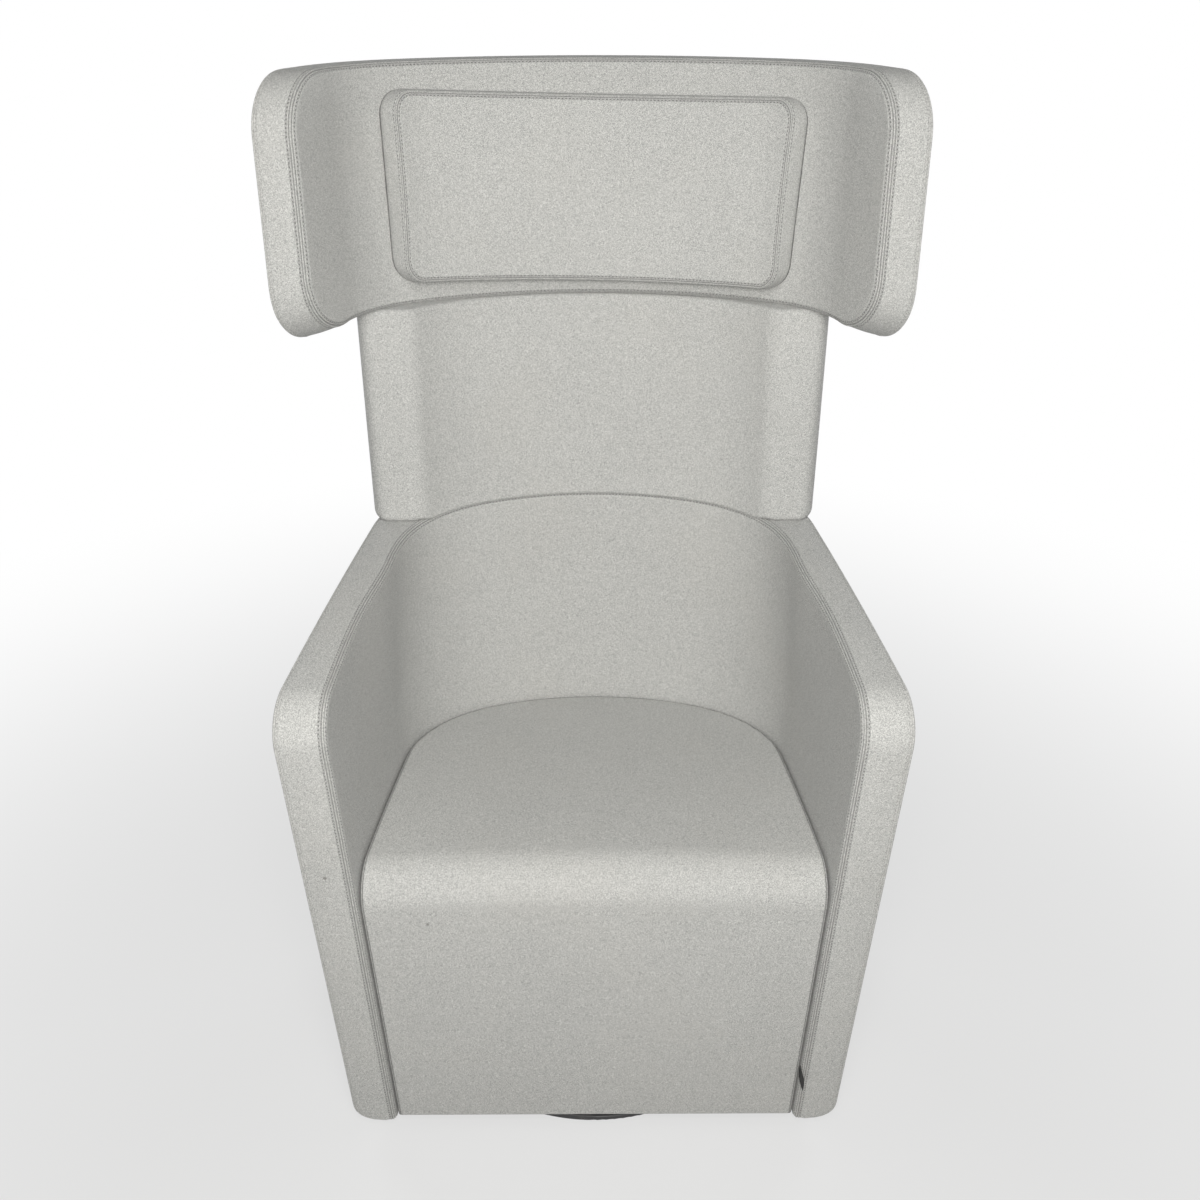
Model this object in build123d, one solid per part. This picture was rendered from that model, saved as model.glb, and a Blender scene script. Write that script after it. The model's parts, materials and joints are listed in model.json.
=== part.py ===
"""Acoustic high back lounge chair on a swivelling floor plate.

Millimetres, +Z up, front towards -Y. The origin is on the floor, on the swivel axis.
Three upholstered walls stand on each other: the tub, the middle back and the winged head band.
Each wall follows a plan line made of a straight side, a corner arc and a shallow back arc.
"""
from build123d import *
import os
from math import atan, cos, degrees, radians, sin, sqrt, tan

os.makedirs("parts", exist_ok=True)

# ---------------------------------------------------------------- driving sizes
# upholstery layers, from the outside in
COVER = 2.0             # felt thickness
GAP = 0.3               # play between neighbouring layers
OUTER_FOAM = 12.0       # thin foam on the outside of the plywood
PLY = 12.0              # moulded plywood of the three shells
EDGE = 8.0              # rounding along every seam edge

# tub: plan lines at PLAN_Z, then how they flare and lean with height
PLAN_Z = 415.0
TUB_LOW = 15.0
TUB_FLARE = 0.031       # outward growth of the inner surface per mm of height
TUB_LEAN = 0.060        # backward shift of the inner back per mm of height
TUB_OUT_FLARE = 0.034
TUB_OUT_LEAN = 0.046
FRONT_Y = -247.0        # front face at TUB_LOW
FRONT_LEAN = 4.0        # degrees, the front face leans forward
ARM_TIP_Z = 671.0       # virtual corner of the arm's top and front
ARM_CORNER = 54.0       # round of that corner
ARM_MID_Y = 105.0       # where the middle back's ears stand
ARM_MID_Z = 714.0
TUB_REAR_Z = 724.0
TUB_REAR_Y = 330.0
TOE = 26.0              # round of the tub's bottom edge

# seat block
SEAT_PLAY = 0.6         # to the arms and the back
SEAT_RECESS = 6.0       # the seat's front lies behind the arms' front
SEAT_LOW = 16.0
SEAT_CROWN_Z = 441.0
SEAT_CROWN_Y = -288.0
SEAT_CROWN = 2900.0     # crown radius from front to back
SEAT_CROSS = 4500.0     # crown radius from side to side
WATERFALL = 46.0        # round of the front edge
SEAT_SIDE = 7.0        # round of the side edges

# middle back
MID_GAP = 0.6           # shadow gap to the tub
MID_LEAN = 0.121
MID_FLARE = 0.024
MID_OUT_FLARE = 0.034
MID_EARS_Y = 109.0      # front of the ears at ARM_MID_Z
MID_EARS_LEAN = 0.125
EAR = 22.0              # round of the ears

# head band, in its own frame that leans back with it
HEAD_Y = 236.0          # inner centre of the band's lower edge
HEAD_Z = 985.6
HEAD_LEAN = 6.5         # degrees
HEAD_TALL = 282.0
HEAD_FLARE = 0.030
HEAD_LOW_SLOPE = 0.094  # the lower edge falls towards the wing tips
HEAD_TOP_SLOPE = 0.104
HEAD_DROP_Y = -120.0     # from here forward the lower edge curves further down
HEAD_DROP = 12.0        # at the wing tips
WING_Y = -224.0         # front of the wings
WING_CORNER = 48.0      # round of the wings' lower corners
WING_CREST = 58.0       # round of their upper corners
WING_EDGE = 7.0

# head pad
PAD_LOW = 18.0
PAD_TALL = 223.0
PAD_THICK = 27.0        # at its upper and lower edges
PAD_CROWN = 4.0         # more at mid height
PAD_END = 17.5          # degrees, how far the pad reaches round the corner arc
PAD_SPREAD = 3.0        # degrees more at its upper edge
PAD_CORNER = 30.0
PAD_EDGE = 9.0
PAD_BOARD = 6.0
PAD_BOARD_IN = 16.0     # board edge inside the pad's edge
STUD_R = 3.0
STUD_TURN = 14.0        # degrees round the band's back arc, from its centre
STUD_LOW = 70.0
STUD_PITCH = 110.0
STUD_BITE = 9.0         # into the head shell

# floor plate and swivel
GLIDES = 8
GLIDE_R = 15.0
GLIDE_T = 3.0
GLIDE_RING = 215.0      # and one more glide in the middle
PLATE_R = 240.0
PLATE_T = 8.0
PLATE_EDGE = 1.5
RING_IN = 84.0
RING_OUT = 124.0
RING_T = 2.5            # flange of the pressed rings
RACE_IN = 93.0
RACE_OUT = 107.0
BALLS = 12
BALL_R = 3.5
BALL_PLAY = 0.05
RACE_GAP = 2.0          # between the two races
BOARD_Z = 24.0          # underside of the bottom board
BOARD_T = 18.0
POST_R = 10.0
POST_PLAY = 0.05
BUSH_WALL = 3.0
BUSH_FLANGE = 3.0
BUSH_FLANGE_R = 22.0
POST_FOOT = 4.0
WASHER_PLAY = 0.3
WASHER_R = 20.0
WASHER_T = 2.5
NUT_SPAN = 30.0         # across flats
NUT_T = 12.0
POST_END = 4.0          # thread beyond the nut
RING_SCREWS = 6
RING_SCREW_R = 2.5
SCREW_PLAY = 0.05
RING_HEAD_R = 5.0
RING_HEAD_T = 2.0
RING_SCREW_PCD = 232.0
DUST_T = 1.2
DUST_HOLE_R = 132.0

# frame
SHELL_FOOT = 15.0       # the moulded shells end this far above the felt's lower edge
SIDE_REAR_Y = 40.0      # where the side panels meet the moulded back shell
PANEL_IN = 22.0         # frame edge inside the upholstery's top and front
LEG_REAR = -200.0       # the arm fronts run down to the floor gap as far back as this
FASCIA_FOAM = 18.0
FRONT_BOARD_T = 15.0
DECK_Z = 318.0          # underside of the seat frame
DECK_T = 15.0
DECK_RIM = 45.0         # width of the seat frame inside the seat's side
WEB_W = 60.0
WEB_T = 1.5
WEB_X = (-150.0, -50.0, 50.0, 150.0)
WEB_Y = (-130.0, -20.0, 90.0)
WEB_IN = 8.0            # strap ends inside the seat's side
CLEAT = 28.0
CLEAT_REAR = 30.0
CLEAT_BACK_HALF = 110.0
BRACKET_LEG = 40.0
BRACKET_T = 3.0
BRACKET_W = 30.0
BRACKET_Y = (-170.0, -70.0, 20.0)
BAR_TURN = 9.0          # degrees, the steel uprights stand on both sides of the centre
BAR_W = 36.0
BAR_T = 6.0
BAR_LOW = 345.0
BAR_HIGH = 215.0        # end of the uprights above the head band's lower edge
BAR_PLAY = 0.7
BAR_BACK = 1.6          # room behind the uprights in foam and felt
BOLT_R = 4.0
BOLT_HEAD_R = 8.0
BOLT_HEAD_T = 2.0
BOLT_TAIL = 4.0
NUT_R = 9.0
NUT_PLATE = 2.0
NUT_SEAT = 0.7          # the flanged nuts stand off the curved shell by this
TUB_BOLTS = (400.0, 640.0)
MID_BOLTS = (790.0, 930.0)
HEAD_BOLTS = (1060.0, 1150.0)
ALL_BOLTS = TUB_BOLTS + MID_BOLTS + HEAD_BOLTS

# label tag in the seam between the seat and the arm
TAG_T = 1.0
TAG_W = 22.0
TAG_ROOT = 3.0          # how far the tag is sewn in behind the seat's front
TAG_TALL = 20.0
TAG_Z = 97.0

# how solids are cut to shape and how their edges are picked
WIDE = 500.0            # half width of the cutting blocks
OPEN_Y = -2 * WIDE / 3  # the open walls run forward to here before they are trimmed
UNDER = -WIDE / 10      # below the floor
PAST = 1.0              # cutting shapes run past what they cut by this
SPARE = 20.0            # height that walls have to spare before they are trimmed
SAME = 0.01             # heights this close are the same
ON_LINE = 0.02          # an edge this close to an outline lies on it
NEAR_LINE = 0.1
SNUG = 0.3
PROBES = (0.1, 0.5, 0.9)    # where along an edge it is looked at
SHORT = 20.0            # shorter edges are not part of the tub's foot
NOSE_DEPTH = 15.0       # the front edge of the seat's top is shallower than this
UPRIGHT = 100.0         # taller edges run up the seat's corners
FRONT_ZONE = 60.0       # and those this far behind the front are not rounded
PAD_FRONT = 0.7         # the pad's front rim lies beyond this share of its thickness
CROWN_AHEAD = 3.0       # degrees that the seat's crown is turned to either side
CROWN_BEHIND = 13.0


# ---------------------------------------------------------------- plan lines
class WallLine:
    """Plan line mirrored about x = 0: a straight side, a corner arc and a back arc."""

    def __init__(self, half, angle, corner, back, rear):
        self.half = half        # half width at y = 0
        self.angle = angle      # degrees, the side narrows towards the rear
        self.corner = corner
        self.back = back
        self.rear = rear        # y of the line on the centre plane

    def offset(self, out):
        wider = self.half + out / cos(radians(self.angle))
        return WallLine(wider, self.angle, self.corner + out, self.back + out, self.rear + out)

    def moved(self, dy):
        wider = self.half + tan(radians(self.angle)) * dy
        return WallLine(wider, self.angle, self.corner, self.back, self.rear + dy)

    def side(self, y):
        return Vector(self.half - tan(radians(self.angle)) * y, y)

    def arcs(self):
        """Centre of the corner arc, and its start, middle and end on the right."""
        turn = radians(self.angle)
        inward = Vector(-cos(turn), -sin(turn))
        along = Vector(-sin(turn), cos(turn))
        hub = Vector(0, self.rear - self.back)
        lead = Vector(self.half, 0) + inward * self.corner - hub
        reach = self.back - self.corner
        share = lead.dot(along)
        step = -share + sqrt(share * share - lead.dot(lead) + reach * reach)
        centre = lead + along * step + hub
        radial = (centre - hub).normalized()
        start = centre - inward * self.corner
        middle = centre + (radial - inward).normalized() * self.corner
        return centre, start, middle, centre + radial * self.corner

    def depth_at(self, x):
        """The y of the back arc at x."""
        return self.rear - self.back + sqrt(self.back ** 2 - x * x)

    def edges(self, front):
        """Edges from the right front end round the back to the left front end."""
        _, start, middle, end = self.arcs()
        rear = Vector(0, self.rear)
        return [
            Edge.make_line(self.side(front), start),
            Edge.make_three_point_arc(start, middle, end),
            Edge.make_three_point_arc(end, rear, mirrored(end)),
            Edge.make_three_point_arc(mirrored(end), mirrored(middle), mirrored(start)),
            Edge.make_line(mirrored(start), mirrored(self.side(front))),
        ]


def mirrored(point):
    return Vector(-point.X, point.Y, point.Z)


def wall_section(outer, inner, front, z):
    """Closed U between two plan lines, at height z."""
    left = Edge.make_line(mirrored(outer.side(front)), mirrored(inner.side(front)))
    right = Edge.make_line(inner.side(front), outer.side(front))
    return Pos(0, 0, z) * Face(Wire(outer.edges(front) + [left] + inner.edges(front) + [right]))


def room_section(line, front, z):
    """Closed area inside one plan line, at height z."""
    across = Edge.make_line(mirrored(line.side(front)), line.side(front))
    return Pos(0, 0, z) * Face(Wire(line.edges(front) + [across]))


def at_height(line, z, flare, lean, level=PLAN_Z):
    rise = z - level
    return line.offset(flare * rise).moved((lean - flare) * rise)


TUB_INNER = WallLine(255.0, 4.6, 182.0, 378.0, 186.0)
TUB_OUTER = WallLine(297.0, 8.2, 170.0, 460.0, 270.0)
HEAD_INNER = WallLine(233.0, 19.5, 160.0, 450.0, 0.0)
HEAD_OUTER = WallLine(291.5, 19.5, 200.0, 490.0, 58.0)
HEAD_PLACE = Pos(0, HEAD_Y, HEAD_Z) * Rot(-HEAD_LEAN, 0, 0)


def tub_inner(z):
    return at_height(TUB_INNER, z, TUB_FLARE, TUB_LEAN)


def tub_outer(z):
    return at_height(TUB_OUTER, z, TUB_OUT_FLARE, TUB_OUT_LEAN)


MID_BASE_Z = 717.0      # level at which the middle back's plan lines are set
# the uprights stand in front of the tub's shell and behind the middle back's shell
MID_REAR = tub_outer(MID_BASE_Z).rear - PLY - BAR_T - 2 * BAR_PLAY
MID_OUTER = WallLine(316.0, 7.7, 140.0, 450.0, MID_REAR)
# and its rear face runs up into the head band's rear face
HEAD_REAR = (HEAD_PLACE * Pos(0, HEAD_OUTER.rear, 0)).position
MID_OUT_LEAN = (HEAD_REAR.Y - MID_REAR) / (HEAD_REAR.Z - MID_BASE_Z)


def mid_inner(z):
    return at_height(tub_inner(MID_BASE_Z), z, MID_FLARE, MID_LEAN, MID_BASE_Z)


def mid_outer(z):
    return at_height(MID_OUTER, z, MID_OUT_FLARE, MID_OUT_LEAN, MID_BASE_Z)


# ---------------------------------------------------------------- side profiles
def front_y(z):
    return FRONT_Y - tan(radians(FRONT_LEAN)) * (z - TUB_LOW)


def yz(y, z):
    return Vector(0, y, z)


def across(face):
    """A block with the given side profile, wider than the chair."""
    return extrude(face, amount=WIDE, dir=(1, 0, 0), both=True)


def polygon(*points):
    return Face(Wire.make_polygon(points, close=True))


def arm_top_edge(drop):
    tip = yz(front_y(ARM_TIP_Z - drop) + drop, ARM_TIP_Z - drop)
    middle = yz(ARM_MID_Y, ARM_MID_Z - drop)
    rear = yz(TUB_REAR_Y, TUB_REAR_Z - drop)
    return tip, Edge.make_three_point_arc(tip, middle, rear), rear


def tub_profile(inset, low):
    """Side profile of the tub: leaning front, rounded arm tip and gently rising arm top."""
    tip, top, rear = arm_top_edge(inset)
    foot = yz(front_y(low) + inset, low)
    heel = yz(TUB_REAR_Y, low)
    outline = [Edge.make_line(foot, tip), top, Edge.make_line(rear, heel), Edge.make_line(heel, foot)]
    face = Face(Wire(outline))
    return face.fillet_2d(ARM_CORNER - inset, face.vertices().sort_by_distance(tip)[:1])


def rim_edges(solid, outline):
    """Edges where the side profile meets a wall, leaving out the straight ones across."""
    def on_outline(edge):
        spots = [edge.position_at(share) for share in PROBES]
        return all(outline.distance_to(Vertex(0, spot.Y, spot.Z)) < ON_LINE for spot in spots)

    def bends_or_runs(edge):
        size = edge.bounding_box().size
        return size.Y + size.Z > PAST

    return [edge for edge in solid.edges() if bends_or_runs(edge) and on_outline(edge)]


# ---------------------------------------------------------------- upholstered forms
def tub_form(inset):
    """The tub's outer form, drawn in by inset on every face."""
    low, high = TUB_LOW + inset, TUB_REAR_Z + ARM_CORNER
    sections = [
        wall_section(tub_outer(z).offset(-inset), tub_inner(z).offset(inset), OPEN_Y, z)
        for z in (low, high)
    ]
    wall = loft(sections, ruled=True)
    profile = tub_profile(inset, low - 1)
    body = (wall & across(profile)).solids()[0]
    toe = [
        edge for edge in body.edges()
        if abs(edge.center().Z - low) < SAME and edge.length > SHORT
        and tub_edge_is_outer(edge, low, inset)
    ]
    body = body.fillet(TOE - inset, toe)
    return body.fillet(EDGE - inset, rim_edges(body, profile.outer_wire()))


def tub_edge_is_outer(edge, z, inset):
    """True for a bottom edge that lies on the tub's outer plan line."""
    outline = Wire(tub_outer(z).offset(-inset).edges(OPEN_Y))
    spot = edge.position_at(0.5)
    depth = edge.bounding_box().size.Y
    return outline.distance_to(Vertex(spot.X, spot.Y, 0)) < NEAR_LINE and depth > PAST


def seat_form(inset):
    """The seat block with its crown, waterfall front and tight sides."""
    low, high = SEAT_LOW + inset, SEAT_CROWN_Z + 2 * SEAT_SIDE
    play = SEAT_PLAY + inset
    block = loft([room_section(tub_inner(z).offset(-play), OPEN_Y, z) for z in (low, high)],
                 ruled=True)
    face_y = SEAT_RECESS + inset
    front = across(polygon(yz(front_y(low - 1) + face_y, low - 1), yz(front_y(high) + face_y, high + 1),
                           yz(WIDE, high + 1), yz(WIDE, low - 1)))
    body = (block & front & seat_crown(inset)).solids()[0]
    top = body.faces().sort_by(Axis.Z)[-1]
    nose = [edge for edge in top.edges() if edge.bounding_box().size.Y < NOSE_DEPTH]
    body = body.fillet(WATERFALL - inset, [min(nose, key=lambda edge: edge.center().Y)])
    return body.fillet(SEAT_SIDE - inset, seat_side_edges(body, inset))


def seat_crown(inset):
    """A barrel whose top is the crowned seat surface."""
    top = SEAT_CROWN_Z - inset
    drop = SEAT_CROSS - sqrt(SEAT_CROSS ** 2 - WIDE ** 2)
    left, right = Vector(-WIDE, 0, top - drop), Vector(WIDE, 0, top - drop)
    low_left, low_right = Vector(-WIDE, 0, -WIDE), Vector(WIDE, 0, -WIDE)
    outline = [
        Edge.make_three_point_arc(left, Vector(0, 0, top), right),
        Edge.make_line(right, low_right),
        Edge.make_line(low_right, low_left),
        Edge.make_line(low_left, left),
    ]
    axle = Axis((0, SEAT_CROWN_Y, top - SEAT_CROWN + inset), (1, 0, 0))
    slice_face = Pos(0, SEAT_CROWN_Y, 0) * Face(Wire(outline))
    return revolve(slice_face.rotate(axle, CROWN_AHEAD), axle, revolution_arc=-(CROWN_AHEAD + CROWN_BEHIND))


def seat_side_edges(body, inset):
    """The long edges of the seat's sides, back and front corners."""
    def on_side(edge):
        spot = edge.position_at(0.5)
        outline = Wire(tub_inner(spot.Z).offset(-SEAT_PLAY - inset).edges(OPEN_Y))
        return outline.distance_to(Vertex(spot.X, spot.Y, 0)) < SNUG

    def is_upright(edge):
        size = edge.bounding_box().size
        return size.Z > UPRIGHT and edge.center().Y > FRONT_Y + FRONT_ZONE

    low = SEAT_LOW + inset
    return [
        edge for edge in body.edges()
        if edge.center().Z > low + PAST and on_side(edge) and not is_upright(edge)
    ]


def mid_ears(low, high, inset):
    """Everything behind the leaning front of the middle back's ears."""
    ear_low = MID_EARS_Y + inset + MID_EARS_LEAN * (low - ARM_MID_Z)
    ear_high = MID_EARS_Y + inset + MID_EARS_LEAN * (high - ARM_MID_Z)
    return across(polygon(yz(ear_low, low), yz(ear_high, high), yz(WIDE, high), yz(WIDE, low)))


def mid_form(inset):
    """The middle back: a wall that ends in two full round ears."""
    low, high = ARM_MID_Z - SPARE, HEAD_Z + SPARE
    wall = loft([
        wall_section(mid_outer(z).offset(-inset), mid_inner(z).offset(inset), 0, z)
        for z in (low, high)
    ], ruled=True)
    body = (wall & mid_ears(low, high, inset)).solids()[0]
    uprights = [edge for edge in body.edges() if edge.bounding_box().size.Z > (high - low) / 2]
    uprights = sorted(uprights, key=lambda edge: edge.center().Y)[:4]
    body = body.fillet(EAR - inset, uprights)
    bounds = mid_bounds(inset)
    body = (body & across(bounds)).solids()[0]
    return body.fillet(EDGE - inset, rim_edges(body, bounds.outer_wire()))


def mid_bounds(inset):
    """Profile that trims the middle back above the tub and below the head band."""
    tip, bottom, rear = arm_top_edge(-MID_GAP - inset)
    slope = tan(radians(HEAD_LEAN)) - HEAD_LOW_SLOPE
    top_front = yz(tip.Y, HEAD_Z - MID_GAP - inset - slope * (tip.Y - HEAD_Y))
    top_rear = yz(rear.Y + WIDE, HEAD_Z - MID_GAP - inset - slope * (rear.Y + WIDE - HEAD_Y))
    far = yz(rear.Y + WIDE, rear.Z)
    return Face(Wire([bottom, Edge.make_line(rear, far), Edge.make_line(far, top_rear),
                      Edge.make_line(top_rear, top_front), Edge.make_line(top_front, tip)]))


def head_line(line, z):
    return at_height(line, z, HEAD_FLARE, 0.0, 0.0)


def head_profile(inset):
    """Side profile of the head band in its own frame, with rounded wing corners."""
    front, rear = WING_Y + inset, HEAD_OUTER.rear + 2 * SPARE
    tip = yz(front, HEAD_LOW_SLOPE * front - HEAD_DROP + inset)
    crest = yz(front, HEAD_TALL + HEAD_TOP_SLOPE * front - inset)
    high = yz(rear, HEAD_TALL + HEAD_TOP_SLOPE * rear - inset)
    low = yz(rear, HEAD_LOW_SLOPE * rear + inset)
    bend = yz(HEAD_DROP_Y, HEAD_LOW_SLOPE * HEAD_DROP_Y + inset)
    outline = [
        Edge.make_line(low, bend),
        Edge.make_tangent_arc(bend, bend - low, tip),
        Edge.make_line(tip, crest),
        Edge.make_line(crest, high),
        Edge.make_line(high, low),
    ]
    face = Face(Wire(outline))
    face = face.fillet_2d(WING_CORNER - inset, face.vertices().sort_by_distance(tip)[:1])
    return face.fillet_2d(WING_CREST - inset, face.vertices().sort_by_distance(crest)[:1])


def head_form(inset):
    """The head band with its two wings, in its own leaning frame."""
    low, high = -WING_CORNER, HEAD_TALL + WING_CORNER
    wall = loft([
        wall_section(head_line(HEAD_OUTER, z).offset(-inset), head_line(HEAD_INNER, z).offset(inset),
                     WING_Y - WING_CORNER, z)
        for z in (low, high)
    ], ruled=True)
    profile = head_profile(inset)
    body = (wall & across(profile)).solids()[0]
    return body.fillet(WING_EDGE - inset, rim_edges(body, profile.outer_wire()))


def pad_line(z, depth):
    """Plan line at this depth in front of the band."""
    return head_line(HEAD_INNER, z).offset(-depth)


def pad_tip(z, depth, trim):
    """End of a pad line on the corner arc, the point half way to it, and the arc's start."""
    line = pad_line(z, depth)
    centre, _, _, end = line.arcs()
    turn = PAD_END + PAD_SPREAD * (z - PAD_LOW) / PAD_TALL - degrees(trim / line.corner)
    lead = (end - centre).normalized()
    return (centre + lead.rotate(Axis.Z, -turn) * line.corner,
            centre + lead.rotate(Axis.Z, -turn / 2) * line.corner, end)


def pad_arcs(z, depth, trim):
    tip, half_way, end = pad_tip(z, depth, trim)
    rear = Vector(0, pad_line(z, depth).rear)
    return [
        Edge.make_three_point_arc(tip, half_way, end),
        Edge.make_three_point_arc(end, rear, mirrored(end)),
        Edge.make_three_point_arc(mirrored(end), mirrored(half_way), mirrored(tip)),
    ]


def pad_section(front, back, trim, z):
    """Closed strip between two depths in front of the band's inner line, cut square at its ends."""
    near_tip, far_tip = pad_tip(z, front, trim)[0], pad_tip(z, back, trim)[0]
    left = Edge.make_line(mirrored(near_tip), mirrored(far_tip))
    right = Edge.make_line(far_tip, near_tip)
    outline = pad_arcs(z, front, trim) + [left] + pad_arcs(z, back, trim) + [right]
    return Pos(0, 0, z) * Face(Wire(outline))


def pad_depth(inset, crown=0.0):
    return GAP + PAD_THICK + crown - inset


def pad_rounded(inset, back):
    """The crowned head pad in the head band's frame, with round corners and a soft front edge."""
    low, high = PAD_LOW + inset, PAD_LOW + PAD_TALL - inset
    levels = ((low, 0.0), ((low + high) / 2, PAD_CROWN), (high, 0.0))
    sections = [pad_section(pad_depth(inset, crown), back, inset, z) for z, crown in levels]
    body = loft(sections, ruled=False).solids()[0]
    body = body.fillet(PAD_CORNER - inset, pad_corners(body, inset, back, (low, high)))
    return body.fillet(PAD_EDGE - inset, pad_rim(body, inset, low, high))


def pad_corners(body, inset, back, levels):
    """The four short edges across the pad's thickness."""
    found = []
    for z in levels:
        ends = [pad_tip(z, depth, inset)[0] for depth in (pad_depth(inset), back)]
        spot = (ends[0] + ends[1]) * 0.5 + Vector(0, 0, z)
        for corner in (spot, mirrored(spot)):
            found.append(min(body.edges(), key=lambda edge: (edge.position_at(0.5) - corner).length))
    return found


def pad_rim(body, inset, low, high):
    """The edges round the pad's front face."""
    def is_rim(edge):
        spot = edge.position_at(0.5)
        tip = pad_tip(spot.Z, pad_depth(inset), inset)[0]
        surface = Wire(pad_line(spot.Z, 0).edges(WING_Y))
        off = surface.distance_to(Vertex(spot.X, spot.Y, 0))
        at_border = spot.Z < low + PAD_EDGE or spot.Z > high - PAD_EDGE or abs(spot.X) > tip.X - PAD_EDGE / 2
        return off > PAD_THICK * PAD_FRONT and at_border

    return [edge for edge in body.edges() if is_rim(edge)]


# ---------------------------------------------------------------- frame walls
SHELL_OUT = COVER + GAP + OUTER_FOAM    # depth of the plywood's outer face under the felt
SHELL_IN = SHELL_OUT + PLY
SHELL_LOW = TUB_LOW + SHELL_FOOT
DECK_TOP = DECK_Z + DECK_T
SEAT_BED = DECK_TOP + 2 * (WEB_T + GAP)     # the seat foam lies on the crossed straps
BOARD_TOP = BOARD_Z + BOARD_T
FASCIA = SEAT_RECESS + COVER + GAP + FASCIA_FOAM    # depth of the front board behind the arms' front


def box(x0, x1, y0, y1, z0, z1):
    return Pos((x0 + x1) / 2, (y0 + y1) / 2, (z0 + z1) / 2) * Box(x1 - x0, y1 - y0, z1 - z0)


def ahead_of(y):
    return box(-WIDE, WIDE, -2 * WIDE, y, -WIDE, 4 * WIDE)


def behind(y):
    return box(-WIDE, WIDE, y, 2 * WIDE, -WIDE, 4 * WIDE)


def side_of(sign):
    """The half space on the right (+1) or the left (-1)."""
    return box(min(0, sign * WIDE), max(0, sign * WIDE), -2 * WIDE, 2 * WIDE, -WIDE, 4 * WIDE)


def post(radius, z0, z1, x=0.0, y=0.0):
    """A round bar standing on z0."""
    return Pos(x, y, (z0 + z1) / 2) * Cylinder(radius, z1 - z0)


def ring(outer, inner, z0, z1):
    return post(outer, z0, z1) - post(inner, z0 - 1, z1 + 1)


def on_circle(count, radius, first=0.0):
    """Places evenly spread on a circle about the swivel axis."""
    turns = [first + 360 / count * step for step in range(count)]
    return [(radius * cos(radians(turn)), radius * sin(radians(turn))) for turn in turns]


def group(shapes):
    return Compound(children=[solid for shape in shapes for solid in shape.solids()])


def tub_board(outer_depth, inner_depth, edge_in, low):
    """A layer of the tub's wall between two depths under the outer felt."""
    sections = [
        wall_section(tub_outer(z).offset(-outer_depth), tub_outer(z).offset(-inner_depth), -WIDE, z)
        for z in (low, TUB_REAR_Z)
    ]
    return (loft(sections, ruled=True) & across(tub_profile(edge_in, low - 1))).solids()[0]


def within_shell(depth, low, high):
    """The room inside the tub's wall, measured from the outer felt."""
    sections = [room_section(tub_outer(z).offset(-depth), -WIDE, z) for z in (low, high)]
    return loft(sections, ruled=True)


def under_deck():
    """Where the inner upholstery is left out: behind the arm fronts, below the seat frame."""
    return within_shell(SHELL_IN, UNDER, DECK_TOP + GAP) & behind(LEG_REAR)


def side_panel(sign):
    wall = tub_board(SHELL_OUT, SHELL_IN, PANEL_IN, SHELL_LOW)
    return (wall & ahead_of(SIDE_REAR_Y - GAP / 2) & side_of(sign)).solids()[0]


def tub_back_shell():
    wall = tub_board(SHELL_OUT, SHELL_IN, PANEL_IN, SHELL_LOW) & behind(SIDE_REAR_Y + GAP / 2)
    return (wall - bolt_holes(TUB_BOLTS)).solids()[0]


def panel_pocket():
    return tub_board(SHELL_OUT - GAP, SHELL_IN + GAP, PANEL_IN - GAP, SHELL_LOW - GAP)


def front_strip(near, far, low, high):
    """A leaning strip behind the front face, from depth near to depth far."""
    return across(polygon(yz(front_y(low) + near, low), yz(front_y(high) + near, high),
                          yz(front_y(high) + far, high), yz(front_y(low) + far, low)))


def front_board():
    low, high = BOARD_TOP, DECK_Z
    room = loft([room_section(tub_inner(z).offset(-SEAT_PLAY), -WIDE, z) for z in (low, high)],
                ruled=True)
    return (room & front_strip(FASCIA + GAP, FASCIA + GAP + FRONT_BOARD_T, low, high)).solids()[0]


def nose(z0, z1):
    """The narrow front of a board, between the fronts of the arms."""
    line = tub_inner(z0).offset(-SEAT_PLAY)
    front = front_y(z0) + FASCIA + GAP
    return extrude(room_section(line, -WIDE, z0), amount=z1 - z0) & box(
        -WIDE, WIDE, front, LEG_REAR + 2, z0, z1)


def floor_outline(z0, z1):
    """A level board that fills the room inside the shells."""
    main = extrude(room_section(tub_outer(z0).offset(-SHELL_IN - GAP), -WIDE, z0), amount=z1 - z0)
    return (main & behind(LEG_REAR + GAP)) + nose(z0, z1)


def bottom_board():
    board = floor_outline(BOARD_Z, BOARD_TOP) - post(POST_R + POST_PLAY + BUSH_WALL, 0, WIDE)
    return (board - group(ring_bolt_shanks(SCREW_PLAY))).solids()[0]


def seat_frame():
    deck = floor_outline(DECK_Z, DECK_TOP)
    line = tub_inner(DECK_Z).offset(-DECK_RIM)
    opening = extrude(room_section(line, -WIDE, DECK_Z), amount=DECK_T) & behind(LEG_REAR + DECK_RIM / 2)
    opening = opening.solids()[0]
    uprights = [edge for edge in opening.edges() if edge.bounding_box().size.Z > DECK_T / 2]
    corners = sorted(uprights, key=lambda edge: edge.center().Y)[:2]
    return (deck - opening.fillet(DECK_RIM / 2, corners)).solids()[0]


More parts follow.
